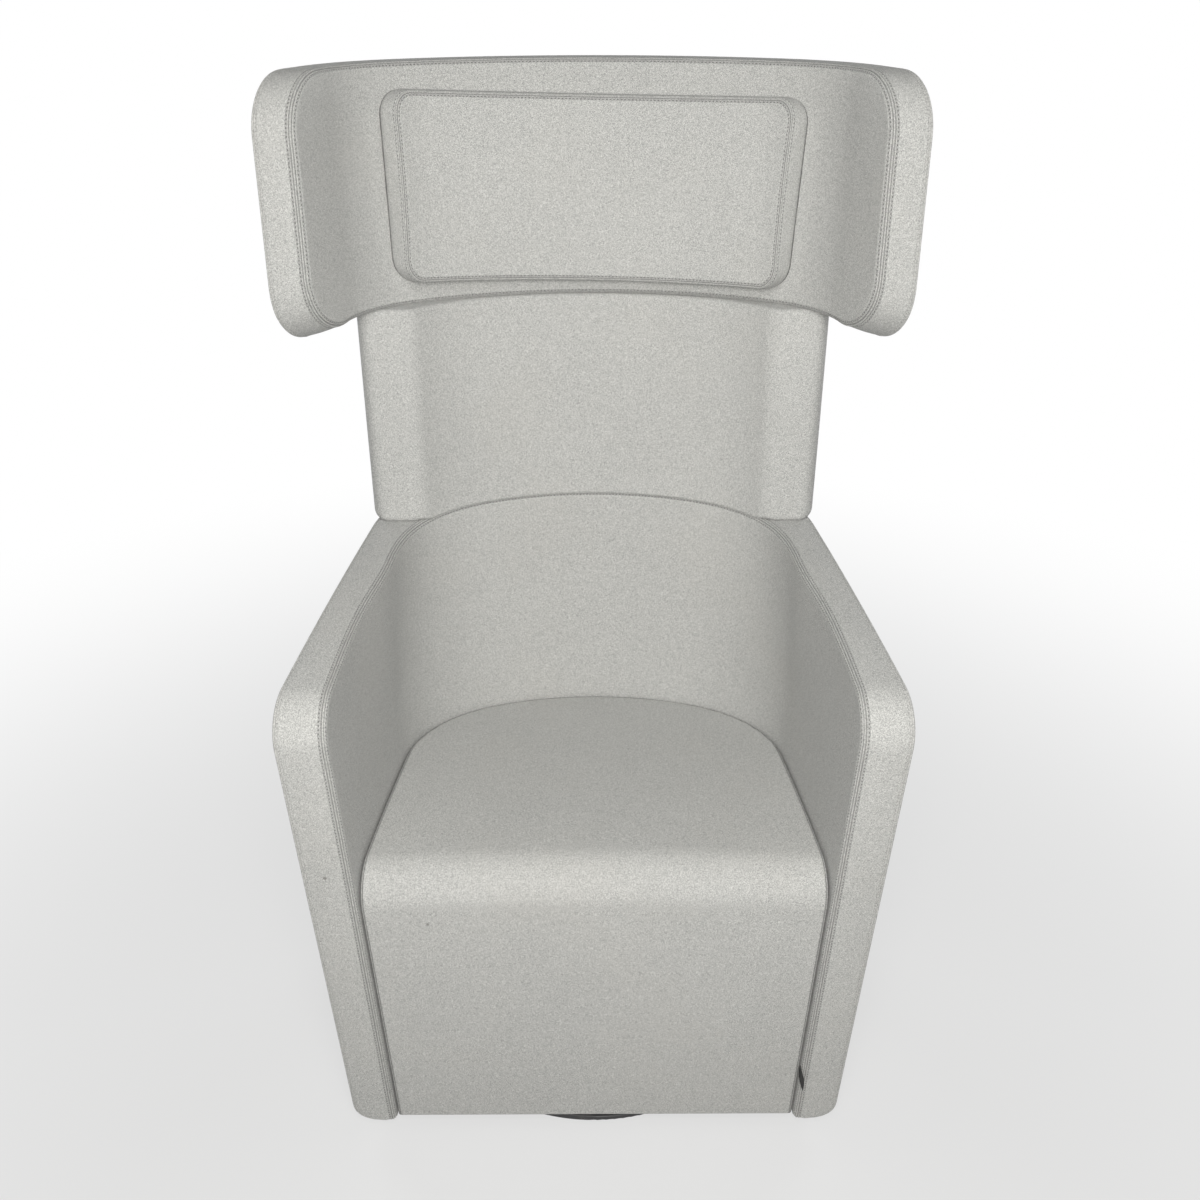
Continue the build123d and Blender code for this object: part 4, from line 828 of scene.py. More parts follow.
# ------------------------------------------------------------------ seat
class SeatBlock:
    """The crowned seat with its waterfall front and tight sides."""
    play, recess, low = 1.3, 6.0, 16.0
    crown_z, crown_y, crown, cross = 441.0, -288.0, 2900.0, 4500.0
    waterfall, side, rear, turned_seam, welt_wide, welt_deep, thick = 46.0, 5.0, 236.0, 3.6, 0.55, 0.7, 40.0
    edge_steps = np.array([0.0, 0.5, 1.3, 2.2, 3.0, 3.6, 4.2, 5.0, 7.0, 10.0])

    def __init__(self):
        self.wall = TUB_INNER.shifted(-self.play)

    def profile(self, x, share):
        """Side view at x: share is 0 to 1 up the front, 1 to 2 over the waterfall, 2 to 3 along the top."""
        sag = self.cross - np.sqrt(self.cross ** 2 - x ** 2)
        reach, hub_z = self.crown - sag, self.crown_z - self.crown
        off = self.recess + self.waterfall / cos(FRONT_LEAN)
        z = np.full(x.shape, self.crown_z - self.waterfall)
        for _ in range(20):
            y = front_y(z) + off
            z = hub_z + np.sqrt((reach - self.waterfall) ** 2 - (y - self.crown_y) ** 2)
        hub_y, mid_z = front_y(z) + off, z
        first = pi + FRONT_LEAN
        last = np.arctan2(mid_z - hub_z, hub_y - self.crown_y)
        touch_z = mid_z + self.waterfall * np.sin(first)
        top_y = hub_y + self.waterfall * np.cos(last)
        foot_z = self.low + np.clip(share, 0, 1) * (touch_z - self.low)
        foot_y = front_y(foot_z) + self.recess
        turn = first + (last - first) * np.clip(share - 1, 0, 1)
        bend_y, bend_z = hub_y + self.waterfall * np.cos(turn), mid_z + self.waterfall * np.sin(turn)
        deck_y = top_y + np.clip(share - 2, 0, None) * (self.rear - top_y)
        deck_z = hub_z + np.sqrt(reach ** 2 - (deck_y - self.crown_y) ** 2)
        y = np.where(share <= 1, foot_y, np.where(share <= 2, bend_y, deck_y))
        z = np.where(share <= 1, foot_z, np.where(share <= 2, bend_z, deck_z))
        return y, z

    def share_of(self, run):
        return np.interp(run, self.marks, [0, 1, 2, 3])

    def run_at(self, x, y):
        """Run along the top at which the profile at x passes y."""
        low, high = np.full(x.shape, self.marks[2]), np.full(x.shape, self.marks[3])
        for _ in range(40):
            half = (low + high) / 2
            under = self.profile(x, self.share_of(half))[0] < y
            low, high = np.where(under, half, low), np.where(under, high, half)
        return (low + high) / 2

    def border(self):
        """Right-hand border from the front foot to the rear centre, as x and run."""
        past, guess_x, guess_z = 60.0, 245.0, 430.0
        run = np.linspace(0, self.marks[2] + past, 400)
        x = np.full(run.shape, guess_x)
        for _ in range(6):
            y, z = self.profile(x, self.share_of(run))
            x = self.wall.x_at(y, z)[0]
        found = [np.stack([x, run], axis=-1)]
        last_y = self.profile(x[-1:], self.share_of(run[-1:]))[0][0]
        z = np.full(500, guess_z)
        for _ in range(6):
            first = self.wall.along_at(last_y, z)
            along = first + (3 - first) * np.linspace(0, 1, 500)
            x, y, _ = self.wall.spot(along, z)
            run = self.run_at(x, y)
            z = self.profile(x, self.share_of(run))[1]
        found.append(np.stack([x, run], axis=-1)[1:])
        return np.concatenate(found)

    def build(self, name):
        probe = np.linspace(0, 3, 1501)
        y, z = self.profile(0 * probe, probe)
        self.marks = np.interp([0, 1, 2, 3], probe, steps_of(np.stack([y, z], axis=-1)))
        line = self.border()
        steps = steps_of(line)
        way = np.gradient(line, axis=0)
        bend = int(np.argmin(np.abs(np.degrees(np.arctan2(-way[:, 0], way[:, 1])) - 45)))
        side = at_stops(line, steps, np.linspace(0, steps[bend], 150))
        back = at_stops(line, steps, np.linspace(steps[bend], steps[-1], 50))
        rear = np.concatenate([back, back[::-1][1:] * (-1, 1)])[::-1]
        share, climb = self.graded(2 * side[0, 0], len(rear)), self.graded(steps[bend], len(side))
        front = np.stack([(2 * share - 1) * side[0, 0], 0 * share], axis=-1)
        rear = at_stops(rear, np.linspace(0, 1, len(rear)), share)
        side = at_stops(side, np.linspace(0, 1, len(side)), climb)
        patch = filled(front, rear, side * (-1, 1), side, climb, share)
        x, run = patch[..., 0], patch[..., 1]
        y, z = self.profile(x, self.share_of(run))
        points = np.stack([x, y, z], axis=-1)
        normals = normals_of(points, (0.0, -0.3, 1.0))
        away = self.distances(points)
        lack = np.clip(self.side - away, 0, self.side)
        welt = np.exp(-((away - self.turned_seam) / self.welt_wide) ** 2)
        drop = self.side - np.sqrt(np.maximum(self.side ** 2 - lack ** 2, 0)) + self.welt_deep * welt
        top = points - normals * drop[..., None]
        skin = Skin()
        # Painted shade: the crease along the block's sides and rear and the welt groove beside it darken.
        marks = np.clip(np.clip(1.4 - away / 2.2, 0, 1) + welt, 0, 1)
        skin.grid(top, marks)
        deep = points - normals * self.thick
        deep[..., 2] = np.maximum(deep[..., 2], self.low)
        upper, lower = (np.concatenate([grid[0], grid[1:, -1], grid[-1, ::-1][1:], grid[::-1, 0][1:]])
                        for grid in (top, deep))
        skin.grid(np.stack([upper, (upper + lower) / 2, lower]))
        skin.grid(deep)
        return skin.mesh(name)

    def graded(self, length, count):
        """Shares of an edge's length, close together at both of its ends."""
        ends = self.edge_steps / length
        inside = np.linspace(ends[-1], 1 - ends[-1], count - 2 * len(ends) + 2)[1:-1]
        return np.concatenate([ends, inside, 1 - ends[::-1]])

    def distances(self, points):
        """Distance of each point from the block's sides and rear."""
        x, y, z = np.abs(points[..., 0]), points[..., 1], points[..., 2]
        half, corner, back, hub, start, end, cx, cy = self.wall.arcs(z)
        flat = (half - tan(self.wall.turn) * y - x) * cos(self.wall.turn)
        bend = corner - np.hypot(x - cx, y - cy)
        behind = back - np.hypot(x, y - hub)
        angle = np.arctan2(y - cy, x - cx)
        found = np.where((y < start), flat, np.where((angle < end) & (x > cx), bend, behind))
        foot = points[..., 2] - self.low
        return np.maximum(np.minimum(found, np.where(points[..., 1] < -150, foot + 4.0, 99.0)), 0)


# ------------------------------------------------------------------ head pad
class HeadPad:
    """The crowned pad on the band's inner face, a little out of level as on the real chair."""
    low, tall, thick, crown, gap, sunk = 18.0, 223.0, 27.0, 4.0, 0.3, -2.2
    end, spread, corner, edge, turned = radians(17.5), radians(3.0), 30.0, 9.0, radians(-1.15)
    face_rows = (13.0, 11.0)
    # Rows of the boxing strip: share of the way to the band, lift and fold mark.
    # The fold mark is the strength of the painted shade where the strip meets the band.
    boxing = ((0.3, 0.5, 0.0), (0.6, 0.6, 0.0), (0.86, 0.2, 0.2), (0.95, 0.0, 1.0), (1.0, 0.0, 1.0))

    def reach(self, z):
        """Length of the pad line from the centre to its tip."""
        arcs = HEAD_INNER.arcs(z)
        turn = self.end + self.spread * (z - self.low) / self.tall
        return arcs.back * (pi / 2 - arcs.end) + arcs.corner * turn

    def spots(self, share, z, depth):
        """Points at signed shares of the pad line's length, in front of the band by depth."""
        x, y = self.spot(np.abs(share) * self.reach(z), z, depth)
        return head_place(np.stack([np.sign(share) * x, y, z + 0 * x], axis=-1))

    @staticmethod
    def spot(length, z, depth):
        """A point of the band's inner line at this run from the centre, moved in by depth."""
        _, corner, back, hub, _, end, cx, cy = HEAD_INNER.arcs(z)
        back_run = back * (pi / 2 - end)
        on_back = length <= back_run
        sweep = pi / 2 - length / back
        bend = end - (length - back_run) / corner
        x = np.where(on_back, (back - depth) * np.cos(sweep), cx + (corner - depth) * np.cos(bend))
        y = np.where(on_back, hub + (back - depth) * np.sin(sweep), cy + (corner - depth) * np.sin(bend))
        return x, y

    def build(self, seams, name, stitches):
        high = self.low + self.tall
        mid_z = (self.low + high) / 2
        wide = float(self.reach(np.array(mid_z)))
        outline, corners = self.outline(wide, high)
        count = len(outline)
        into = self.normals_in(outline)

        def depth_at(z):
            return self.gap + self.thick + self.crown * (1 - ((z - mid_z) / (self.tall / 2)) ** 2)

        def on_face(amount):
            spot = outline + into * amount
            return self.turn_pad(self.spots(spot[:, 0] / wide, spot[:, 1], depth_at(spot[:, 1])))

        corner = on_face(0.0)
        back = self.turn_pad(self.spots(outline[:, 0] / wide, outline[:, 1], np.full(count, self.sunk)))
        near = on_face(self.edge)
        places, heights, marks = seam_rows(seams, self.edge, tight=0.88)
        arc = edge_round(near, corner, back, self.edge, places)
        deep = np.stack([on_face(amount) for amount in self.face_rows], axis=1)
        wall = np.stack([arc[:, -1] * (1 - part) + back * part for part, _, _ in self.boxing], axis=1)
        rows = np.concatenate([deep, arc, wall], axis=1)
        rows = np.concatenate([rows, rows[:1]])
        lift = np.concatenate([[0, 0], heights, [row[1] for row in self.boxing]])
        # Painted shade in the seam's furrows and stitch holes, and where the boxing strip meets the band.
        mark = np.concatenate([[0, 0], marks, [row[2] for row in self.boxing]])
        outward = np.zeros(rows.shape)
        outward[:, 0] = (0.0, -1.0, 0.0)
        looped = np.concatenate([rows[-2:-1], rows, rows[1:2]])
        normals = normals_of(looped, np.concatenate([outward[:1], outward, outward[:1]]))[1:-1]
        lifted = rows + normals * lift[None, :, None]
        skin = Skin()
        skin.grid(lifted, mark)
        for row in SEWN:
            stitches.line(lifted[:, 2 + row], normals[:, 2 + row], mirrored=False)
        self.fill(skin, outline + into * self.face_rows[0], corners, wide, depth_at)
        self.fill(skin, outline, corners, wide, lambda z: 0 * z + self.sunk)
        return skin.mesh(name)

    def turn_pad(self, points):
        """Turns the pad slightly about the middle of its face."""
        hub = head_place(np.array([0.0, -self.thick, self.low + self.tall / 2]))
        x, z = points[..., 0] - hub[0], points[..., 2] - hub[2]
        c, s = cos(self.turned), sin(self.turned)
        return np.stack([hub[0] + c * x - s * z, points[..., 1], hub[2] + s * x + c * z], axis=-1)

    def outline(self, wide, high):
        """Rounded rectangle of the pad, and the indices of its four corners' middles."""
        radius = self.corner
        parts, corners, count = [], [], 0
        hubs = ((wide - radius, self.low + radius, -pi / 2), (wide - radius, high - radius, 0.0),
                (radius - wide, high - radius, pi / 2), (radius - wide, self.low + radius, pi))
        counts = (90, 34, 90, 34)
        previous = (radius - wide, self.low)
        for (x, z, first), number in zip(hubs, counts):
            turns = np.linspace(first, first + pi / 2, 13)
            arc = np.stack([x + radius * np.cos(turns), z + radius * np.sin(turns)], axis=-1)
            run = np.linspace(0, 1, number + 1)[1:-1, None]
            parts += [np.array(previous) * (1 - run) + arc[0] * run, arc]
            corners.append(count + number - 1 + 6)
            count += number - 1 + 13
            previous = tuple(arc[-1])
        return np.concatenate(parts), corners

    @staticmethod
    def normals_in(outline):
        ring = np.concatenate([outline[-1:], outline, outline[:1]])
        way = unit(ring[2:] - ring[:-2])
        return np.stack([-way[:, 1], way[:, 0]], axis=-1)

    def fill(self, skin, ring, corners, wide, depth_at):
        """Fills the area inside a ring between its four corners."""
        a, b, c, d = corners
        low, top = np.concatenate([ring[d:], ring[:a + 1]]), ring[b:c + 1][::-1]
        left, right = ring[c:d + 1][::-1], ring[a:b + 1]
        patch = filled(low, top, left, right, np.linspace(0, 1, len(right)), np.linspace(0, 1, len(low)))
        skin.grid(self.turn_pad(self.spots(patch[..., 0] / wide, patch[..., 1], depth_at(patch[..., 1]))))


# ------------------------------------------------------------------ shader expressions
class Value:
    """A shader socket that takes part in Python arithmetic."""

    def __init__(self, graph, socket):
        self.graph, self.socket = graph, socket

    def math(self, operation, *others, clamp=False):
        return self.graph.node("ShaderNodeMath", {"operation": operation, "use_clamp": clamp},
                               dict(enumerate((self, *others))))

    def __add__(self, other):
        return self.math("ADD", other)

    def __mul__(self, other):
        return self.math("MULTIPLY", other)

    def __sub__(self, other):
        return self.math("SUBTRACT", other)

    def __rsub__(self, other):
        return self.graph.value(other) - self

    __radd__, __rmul__ = __add__, __mul__

    def clamped(self):
        return self.math("ADD", 0.0, clamp=True)

    def ramp(self, low, high):
        """0 below low, 1 above high and smooth between."""
        return self.graph.node("ShaderNodeMapRange", {"interpolation_type": "SMOOTHSTEP"},
                               {0: self, 1: low, 2: high, 3: 0.0, 4: 1.0})


class Graph:
    """A node tree under construction."""

    def __init__(self, tree):
        self.tree = tree

    def node(self, kind, settings, inputs, output=0):
        made = self.tree.nodes.new(kind)
        for key, setting in settings.items():
            setattr(made, key, setting)
        for key, given in inputs.items():
            if isinstance(given, Value):
                self.tree.links.new(given.socket, made.inputs[key])
            elif isinstance(given, (tuple, list)) and len(given) == 3 and made.inputs[key].type == "RGBA":
                made.inputs[key].default_value = (*given, 1.0)
            else:
                made.inputs[key].default_value = given
        return Value(self, made.outputs[output])

    def value(self, number):
        return self.node("ShaderNodeMath", {"operation": "ADD"}, {0: float(number), 1: 0.0})

    def finish(self, shader, output):
        """Gives this shader to the tree's output node."""
        self.tree.links.new(shader.socket, self.tree.nodes[output].inputs["Surface"])

    def in_view(self):
        """1 for what the camera and reflections see, 0 for light on its way to a surface."""
        camera, glossy, through = (self.node("ShaderNodeLightPath", {}, {}, output=kind)
                                   for kind in ("Is Camera Ray", "Is Glossy Ray", "Is Transmission Ray"))
        return (camera + glossy + through).clamped()


class Paint(Graph):
    """A material under construction."""

    def __init__(self, name, **constants):
        self.material = bpy.data.materials.new(name)
        self.material.use_nodes = True
        super().__init__(self.material.node_tree)
        self.shader = self.tree.nodes["Principled BSDF"]
        for socket, constant in constants.items():
            self.shader.inputs[socket.replace("_", " ")].default_value = constant
        self.place = self.node("ShaderNodeTexCoord", {}, {}, output="Object")

    def noise(self, scale, detail=3.0, rough=0.55, stretch=None):
        place = self.place
        if stretch:
            place = self.node("ShaderNodeVectorMath", {"operation": "MULTIPLY"}, {0: place, 1: stretch})
        return self.node("ShaderNodeTexNoise", {}, {"Vector": place, "Scale": scale, "Detail": detail,
                                                    "Roughness": rough})

    def bands(self, way, scale, distortion, detail):
        return self.node("ShaderNodeTexWave", {"wave_type": "BANDS", "bands_direction": way},
                         {"Vector": self.place, "Scale": scale, "Distortion": distortion, "Detail": detail},
                         output="Fac")

    def mix(self, share, low, high):
        return self.node("ShaderNodeMix", {"data_type": "RGBA"}, {0: share, 6: low, 7: high}, output=2)

    def fold_shade(self):
        return self.node("ShaderNodeAttribute", {"attribute_name": "fold_shade"}, {}, output="Fac")

    def near(self, spot, radius):
        """1 at a spot of the chair in metres, fading to 0 at radius."""
        away = self.node("ShaderNodeVectorMath", {"operation": "DISTANCE"}, {0: self.place, 1: spot},
                         output="Value")
        return 1.0 - away.ramp(radius * 0.35, radius)

    def wear(self, **outputs):
        for socket, given in outputs.items():
            self.tree.links.new(given.socket, self.shader.inputs[socket.replace("_", " ")])
        return self.material

    def bumped(self, height, distance, strength=1.0):
        bump = self.node("ShaderNodeBump", {}, {"Height": height, "Distance": distance, "Strength": strength})
        self.tree.links.new(bump.socket, self.shader.inputs["Normal"])


def darker(colour, share):
    return tuple(share * part for part in colour)


# Specks of dirt on the felt: place on the chair and radius, in metres.
STAINS = (((0.209, -0.261, 0.419), 0.0034), ((-0.197, -0.265, 0.363), 0.0026),
          ((-0.308, -0.277, 0.443), 0.0034))


def felt_finish(felt, name, soil):
    """Milled wool felt: pale and deep fibres in a fine mottle over broad uneven tone, with painted shade in
    its folds.
    """
    paint = Paint(name, Sheen_Weight=0.12, Sheen_Roughness=0.45, Specular_IOR_Level=0.25)
    mottle = paint.noise(1000.0, 3.0, 0.7)
    clump = paint.noise(420.0, 2.0, 0.5, (1.0, 1.0, 0.75))
    fibre = paint.noise(1700.0, 2.0, 0.6, (1.0, 0.5, 1.0))
    broad = paint.noise(9.0, 3.0, 0.5)
    tone = (mottle * 0.58 + clump * 0.07 + fibre * 0.35).ramp(0.435, 0.565)
    colour = paint.mix(tone * 0.9 + broad * 0.1, tuple(felt.deep), tuple(felt.pale))
    handled = paint.noise(5.0, 4.0, 0.6).ramp(0.46, 0.72) * (felt.wear * 0.4)
    colour = paint.mix(handled, colour, tuple(felt.warm))
    if soil:
        for spot, radius in STAINS:
            colour = paint.mix(paint.near(spot, radius) * 0.75, colour, (0.16, 0.15, 0.14))
    # Painted shade: folds, seam furrows and stitch holes darken towards near black.
    fold_shade = paint.fold_shade().clamped()
    colour = paint.mix(fold_shade * 0.85, colour, (0.06, 0.06, 0.06))
    nap = mottle * 0.6 + fibre * 0.5 + clump * 0.2
    paint.bumped(nap + paint.noise(28.0, 2.0) * 0.8, felt.nap, 0.6)
    return paint.wear(Base_Color=colour, Roughness=0.86 + 0.1 * tone)


def thread_finish(felt):
    paint = Paint("sewing_thread", Specular_IOR_Level=0.35, Sheen_Weight=0.1)
    twist = paint.noise(2600.0, 1.0, 0.4, (1.0, 1.0, 0.5))
    colour = paint.mix(twist.ramp(0.35, 0.65), darker(felt.thread, 0.78), tuple(felt.thread))
    paint.bumped(twist, 0.0002, 0.5)
    return paint.wear(Base_Color=colour, Roughness=0.62 + 0.15 * twist)


def coat_finish(hardware):
    """Matt powder coat with its fine orange peel and a dusting of lint."""
    paint = Paint("dark_powder_coat", Metallic=0.0, Specular_IOR_Level=0.45)
    peel = paint.noise(900.0, 2.0, 0.5)
    dust = paint.noise(60.0, 5.0, 0.65).ramp(0.52, 0.75)
    colour = paint.mix(dust * 0.22, tuple(hardware.coat), (0.16, 0.155, 0.15))
    paint.bumped(peel, 0.00015, 0.6)
    return paint.wear(Base_Color=colour, Roughness=0.48 + 0.22 * dust)


def zinc_finish(hardware):
    """Plated steel: faint spangle and rolled streaks."""
    paint = Paint("zinc_plate", Metallic=1.0)
    spangle = paint.noise(180.0, 4.0, 0.6)
    streak = paint.noise(240.0, 2.0, 0.5, (1.0, 0.12, 1.0))
    colour = paint.mix(spangle.ramp(0.35, 0.7), darker(hardware.zinc, 0.8), tuple(hardware.zinc))
    paint.bumped(streak, 0.0001, 0.4)
    return paint.wear(Base_Color=colour, Roughness=0.34 + 0.16 * spangle)


def polish_finish():
    paint = Paint("polished_steel", Metallic=1.0)
    haze = paint.noise(420.0, 2.0, 0.5)
    colour = paint.mix(haze, (0.70, 0.70, 0.71), (0.80, 0.80, 0.80))
    return paint.wear(Base_Color=colour, Roughness=0.08 + 0.08 * haze)


def ply_finish(hardware):
    """Birch plywood: veneer grain along the sheet and darker glue lines across its edges."""
    paint = Paint("birch_plywood", Specular_IOR_Level=0.3)
    grain = paint.noise(34.0, 6.0, 0.62, (1.0, 1.0, 0.09))
    pore = paint.noise(420.0, 2.0, 0.5, (1.0, 1.0, 0.06))
    layer = paint.bands("Z", 105.0, 1.2, 2.0)
    colour = paint.mix(grain.ramp(0.3, 0.7), darker(hardware.ply, 0.78), tuple(hardware.ply))
    colour = paint.mix(pore.ramp(0.6, 0.72) * 0.35, colour, darker(hardware.ply, 0.5))
    colour = paint.mix(layer.ramp(0.8, 1.0) * 0.10, colour, darker(hardware.ply, 0.45))
    paint.bumped(grain + pore * 0.5, 0.0003, 0.4)
    return paint.wear(Base_Color=colour, Roughness=0.62 + 0.2 * grain)


def cloth_finish(hardware):
    """Plain woven black cloth: crossing threads with a slight sheen."""
    paint = Paint("black_cloth", Sheen_Weight=0.2, Sheen_Roughness=0.4, Specular_IOR_Level=0.3)
    threads = [paint.bands(way, 440.0, 0.6, 1.0) for way in ("X", "Z", "Y")]
    weave = (threads[0] + threads[1] + threads[2]) * (1 / 3)
    lint = paint.noise(300.0, 4.0, 0.6).ramp(0.62, 0.75)
    colour = paint.mix(weave, tuple(hardware.cloth), tuple(2.4 * part for part in hardware.cloth))
    colour = paint.mix(lint * 0.2, colour, (0.16, 0.16, 0.155))
    paint.bumped(weave, 0.0003, 0.7)
    return paint.wear(Base_Color=colour, Roughness=0.8 + 0.12 * weave)


def plastic_finish():
    paint = Paint("black_moulded_plastic", Specular_IOR_Level=0.45)
    grain = paint.noise(1400.0, 2.0, 0.5)
    scuff = paint.noise(70.0, 5.0, 0.7).ramp(0.55, 0.75)
    colour = paint.mix(scuff * 0.3, (0.022, 0.022, 0.023), (0.09, 0.09, 0.09))
    paint.bumped(grain, 0.0001, 0.5)
    return paint.wear(Base_Color=colour, Roughness=0.5 + 0.2 * grain)


# ------------------------------------------------------------------ placing pieces
def place_piece(mesh, material, slot, *nodes):
    piece = bpy.data.objects.new(mesh.name, mesh)
    bpy.context.scene.collection.objects.link(piece)
    mesh.materials.append(material)
    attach(piece, BODY)
    if nodes:
        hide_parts(*nodes)
    return piece


def box_mm(node):
    """The box of a solid, in millimetres."""
    return (np.array(corner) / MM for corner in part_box(node))


def material(name, make):
    return bpy.data.materials.get(name) or make()


def felt(context, soil=False):
    name = "soiled_melange_felt" if soil else "grey_melange_felt"
    return material(name, lambda: felt_finish(context.scene.chair_felt, name, soil))


def thread(context):
    return material("sewing_thread", lambda: thread_finish(context.scene.chair_felt))


def black_cloth(context):
    return material("black_cloth", lambda: cloth_finish(context.scene.chair_hardware))


class BuildTub(bpy.types.Operator):
    """Build the wrap-round arms and low back with their twin seams."""
    bl_idname = "chair.build_tub"
    bl_label = "Build tub"

    def execute(self, context):
        seams = context.scene.chair_seams
        stitches = Stitches(seams)
        mesh = tub_wall().build(seams, "tub_felt", stitches)
        piece = place_piece(mesh, felt(context, True), "grey_felt", "tub_cover", "arm_foam_left",
                            "arm_foam_right", "tub_back_foam")
        place_piece(stitches.make("tub_stitches"), thread(context), "grey_felt")
        return {"FINISHED"}


class BuildMiddleBack(bpy.types.Operator):
    """Build the curved middle back with its round ears."""
    bl_idname = "chair.build_middle_back"
    bl_label = "Build middle back"

    def execute(self, context):
        piece = place_piece(MiddleBack().build("middle_back_felt"), felt(context), "grey_felt",
                            "mid_back_cover", "mid_back_foam")
        return {"FINISHED"}


class BuildHeadBand(bpy.types.Operator):
    """Build the winged head band with its seams."""
    bl_idname = "chair.build_head_band"
    bl_label = "Build head band"

    def execute(self, context):
        seams = context.scene.chair_seams
        stitches = Stitches(seams)
        mesh = head_wall().build(seams, "head_band_felt", stitches)
        piece = place_piece(mesh, felt(context), "grey_felt", "head_cover", "head_foam")
        place_piece(stitches.make("head_band_stitches"), thread(context), "grey_felt")
        return {"FINISHED"}


class BuildHeadPad(bpy.types.Operator):
    """Build the head pad."""
    bl_idname = "chair.build_head_pad"
    bl_label = "Build head pad"

    def execute(self, context):
        seams = context.scene.chair_seams
        stitches = Stitches(seams)
        mesh = HeadPad().build(seams, "head_pad_felt", stitches)
        piece = place_piece(mesh, felt(context), "grey_felt", "pad_cover", "pad_foam")
        place_piece(stitches.make("head_pad_stitches"), thread(context), "grey_felt")
        return {"FINISHED"}


class BuildSeat(bpy.types.Operator):
    """Build the seat block with its crown and waterfall front."""
    bl_idname = "chair.build_seat"
    bl_label = "Build seat"

    def execute(self, context):
        piece = place_piece(SeatBlock().build("seat_felt"), felt(context, True), "grey_felt", "seat_cover",
                            "seat_foam")
        return {"FINISHED"}


class BuildCloth(bpy.types.Operator):
    """Build the label tag, the seat's webbing and the dust cover under the chair."""
    bl_idname = "chair.build_cloth"
    bl_label = "Build cloth parts"
    tag_thick, tag_curl, tag_wave, tag_droop = 0.9, 1.6, 0.5, 0.8
    cover_hole, cover_thick, cover_inset, cover_margin = 132.0, 0.5, 40.0, 4.0
    long_straps, cross_straps = (-150.0, -50.0, 50.0, 150.0), (-130.0, -20.0, 90.0)
    strap_half, strap_thick, strap_long, web_play, weave, weave_run = 30.0, 1.2, 400.0, 9.0, 1.0, 28.0

    def execute(self, context):
        cloth = black_cloth(context)
        self.tag(cloth)
        self.dust_cover(cloth)
        self.webbing(cloth)
        return {"FINISHED"}

    def tag(self, cloth):
        """A blank folded tag that curls slightly out of the seam."""
        low, high = box_mm("fabric_tag")
        out, up = np.meshgrid(np.linspace(0, 1, 13), np.linspace(0, 1, 13), indexing="ij")
        x = (low[0] + high[0]) / 2 + self.tag_curl * out ** 2 + self.tag_wave * np.sin(up * pi) * out
        y = high[1] + (low[1] - high[1]) * out
        z = low[2] + (high[2] - low[2]) * up - self.tag_droop * out ** 2
        points = np.stack([x, y, z], axis=-1)
        offset = normals_of(points, (1.0, 0.0, 0.0)) * self.tag_thick / 2
        skin = Skin()
        add_sheet(skin, points + offset, points - offset, steps=2)
        piece = place_piece(skin.mesh("label_tag"), cloth, "black_cloth", "fabric_tag")

    def dust_cover(self, cloth):
        """A ring of cloth from the swivel's hole out to the tub's foot, sagging a little."""
        low, high = box_mm("dust_cover")
        shares = np.linspace(0, 1, 14)
        ring = []
        for turn in np.linspace(0, 2 * pi, 145):
            x, y = np.sin(turn), np.cos(turn)
            reach = self.cover_hole + (self.edge_reach(x, y, low, high) - self.cover_hole) * shares
            sag = -0.25 - 0.35 * np.sin(shares * pi) * (1 + 0.5 * np.sin(5 * turn))
            ring.append(np.stack([x * reach, y * reach, high[2] + sag], axis=-1))
        points = np.stack(ring, axis=1)
        skin = Skin()
        add_sheet(skin, points, points - (0, 0, self.cover_thick), edges=(np.s_[0], np.s_[-1]))
        piece = place_piece(skin.mesh("dust_cover_cloth"), cloth, "black_cloth", "dust_cover")

    @staticmethod
    def area_of(points):
        a, b = np.diff(points, axis=0)[:, :-1], np.diff(points, axis=1)[:-1]
        return float(np.linalg.norm(np.cross(a, b), axis=-1).sum())

    def edge_reach(self, x, y, low, high):
        """How far the cover goes from the swivel axis in this direction, inside the tub's foot."""
        wall = TUB_OUTER.shifted(-self.cover_inset)
        arcs = wall.arcs(high[2])
        for reach in np.arange(140.0, 420.0, 1.0):
            px, py = abs(x * reach), y * reach
            if py < arcs.start:
                inside = px < arcs.half - tan(wall.turn) * py
            elif atan2(py - arcs.y, px - arcs.x) < arcs.end and px > arcs.x:
                inside = np.hypot(px - arcs.x, py - arcs.y) < arcs.corner
            else:
                inside = np.hypot(px, py - arcs.hub) < arcs.back
            margin = min(py - low[1], high[1] - py, high[0] - px)
            if not inside or margin < self.cover_margin:
                break
        return reach

    def webbing(self, cloth):
        """Crossed straps under the seat foam, woven over and under each other."""
        low, high = box_mm("seat_webbing")
        z = (low[2] + high[2]) / 2
        edge = TUB_INNER.shifted(-self.web_play)
        sides = (-self.strap_half, 0.0, self.strap_half)
        skin = Skin()
        for number, x in enumerate(self.long_straps):
            y = np.linspace(low[1] + 1, self.rear_of(edge, abs(x) + self.strap_half, z), 60)
            lift = self.woven(y, self.cross_straps, number)
            self.strap(skin, [np.stack([0 * y + x + side, y, z + lift], axis=-1) for side in sides])
        for number, y in enumerate(self.cross_straps):
            half = float(edge.x_at(np.array(y + self.strap_half), np.array(z))[0])
            x = np.linspace(-half, half, 60)
            lift = -self.woven(x, self.long_straps, number)
            self.strap(skin, [np.stack([x, 0 * x + y + side, z + lift], axis=-1) for side in sides])
        piece = place_piece(skin.mesh("seat_webbing_straps"), cloth, "black_cloth", "seat_webbing")
        length = (len(self.long_straps) + len(self.cross_straps)) * self.strap_long * MM

    def woven(self, run, crossings, number):
        """Lift of a strap along its run, by turns over and under the straps that it crosses."""
        return sum((-1) ** (number + other) * self.weave * np.exp(-((run - place) / self.weave_run) ** 2)
                   for other, place in enumerate(crossings))

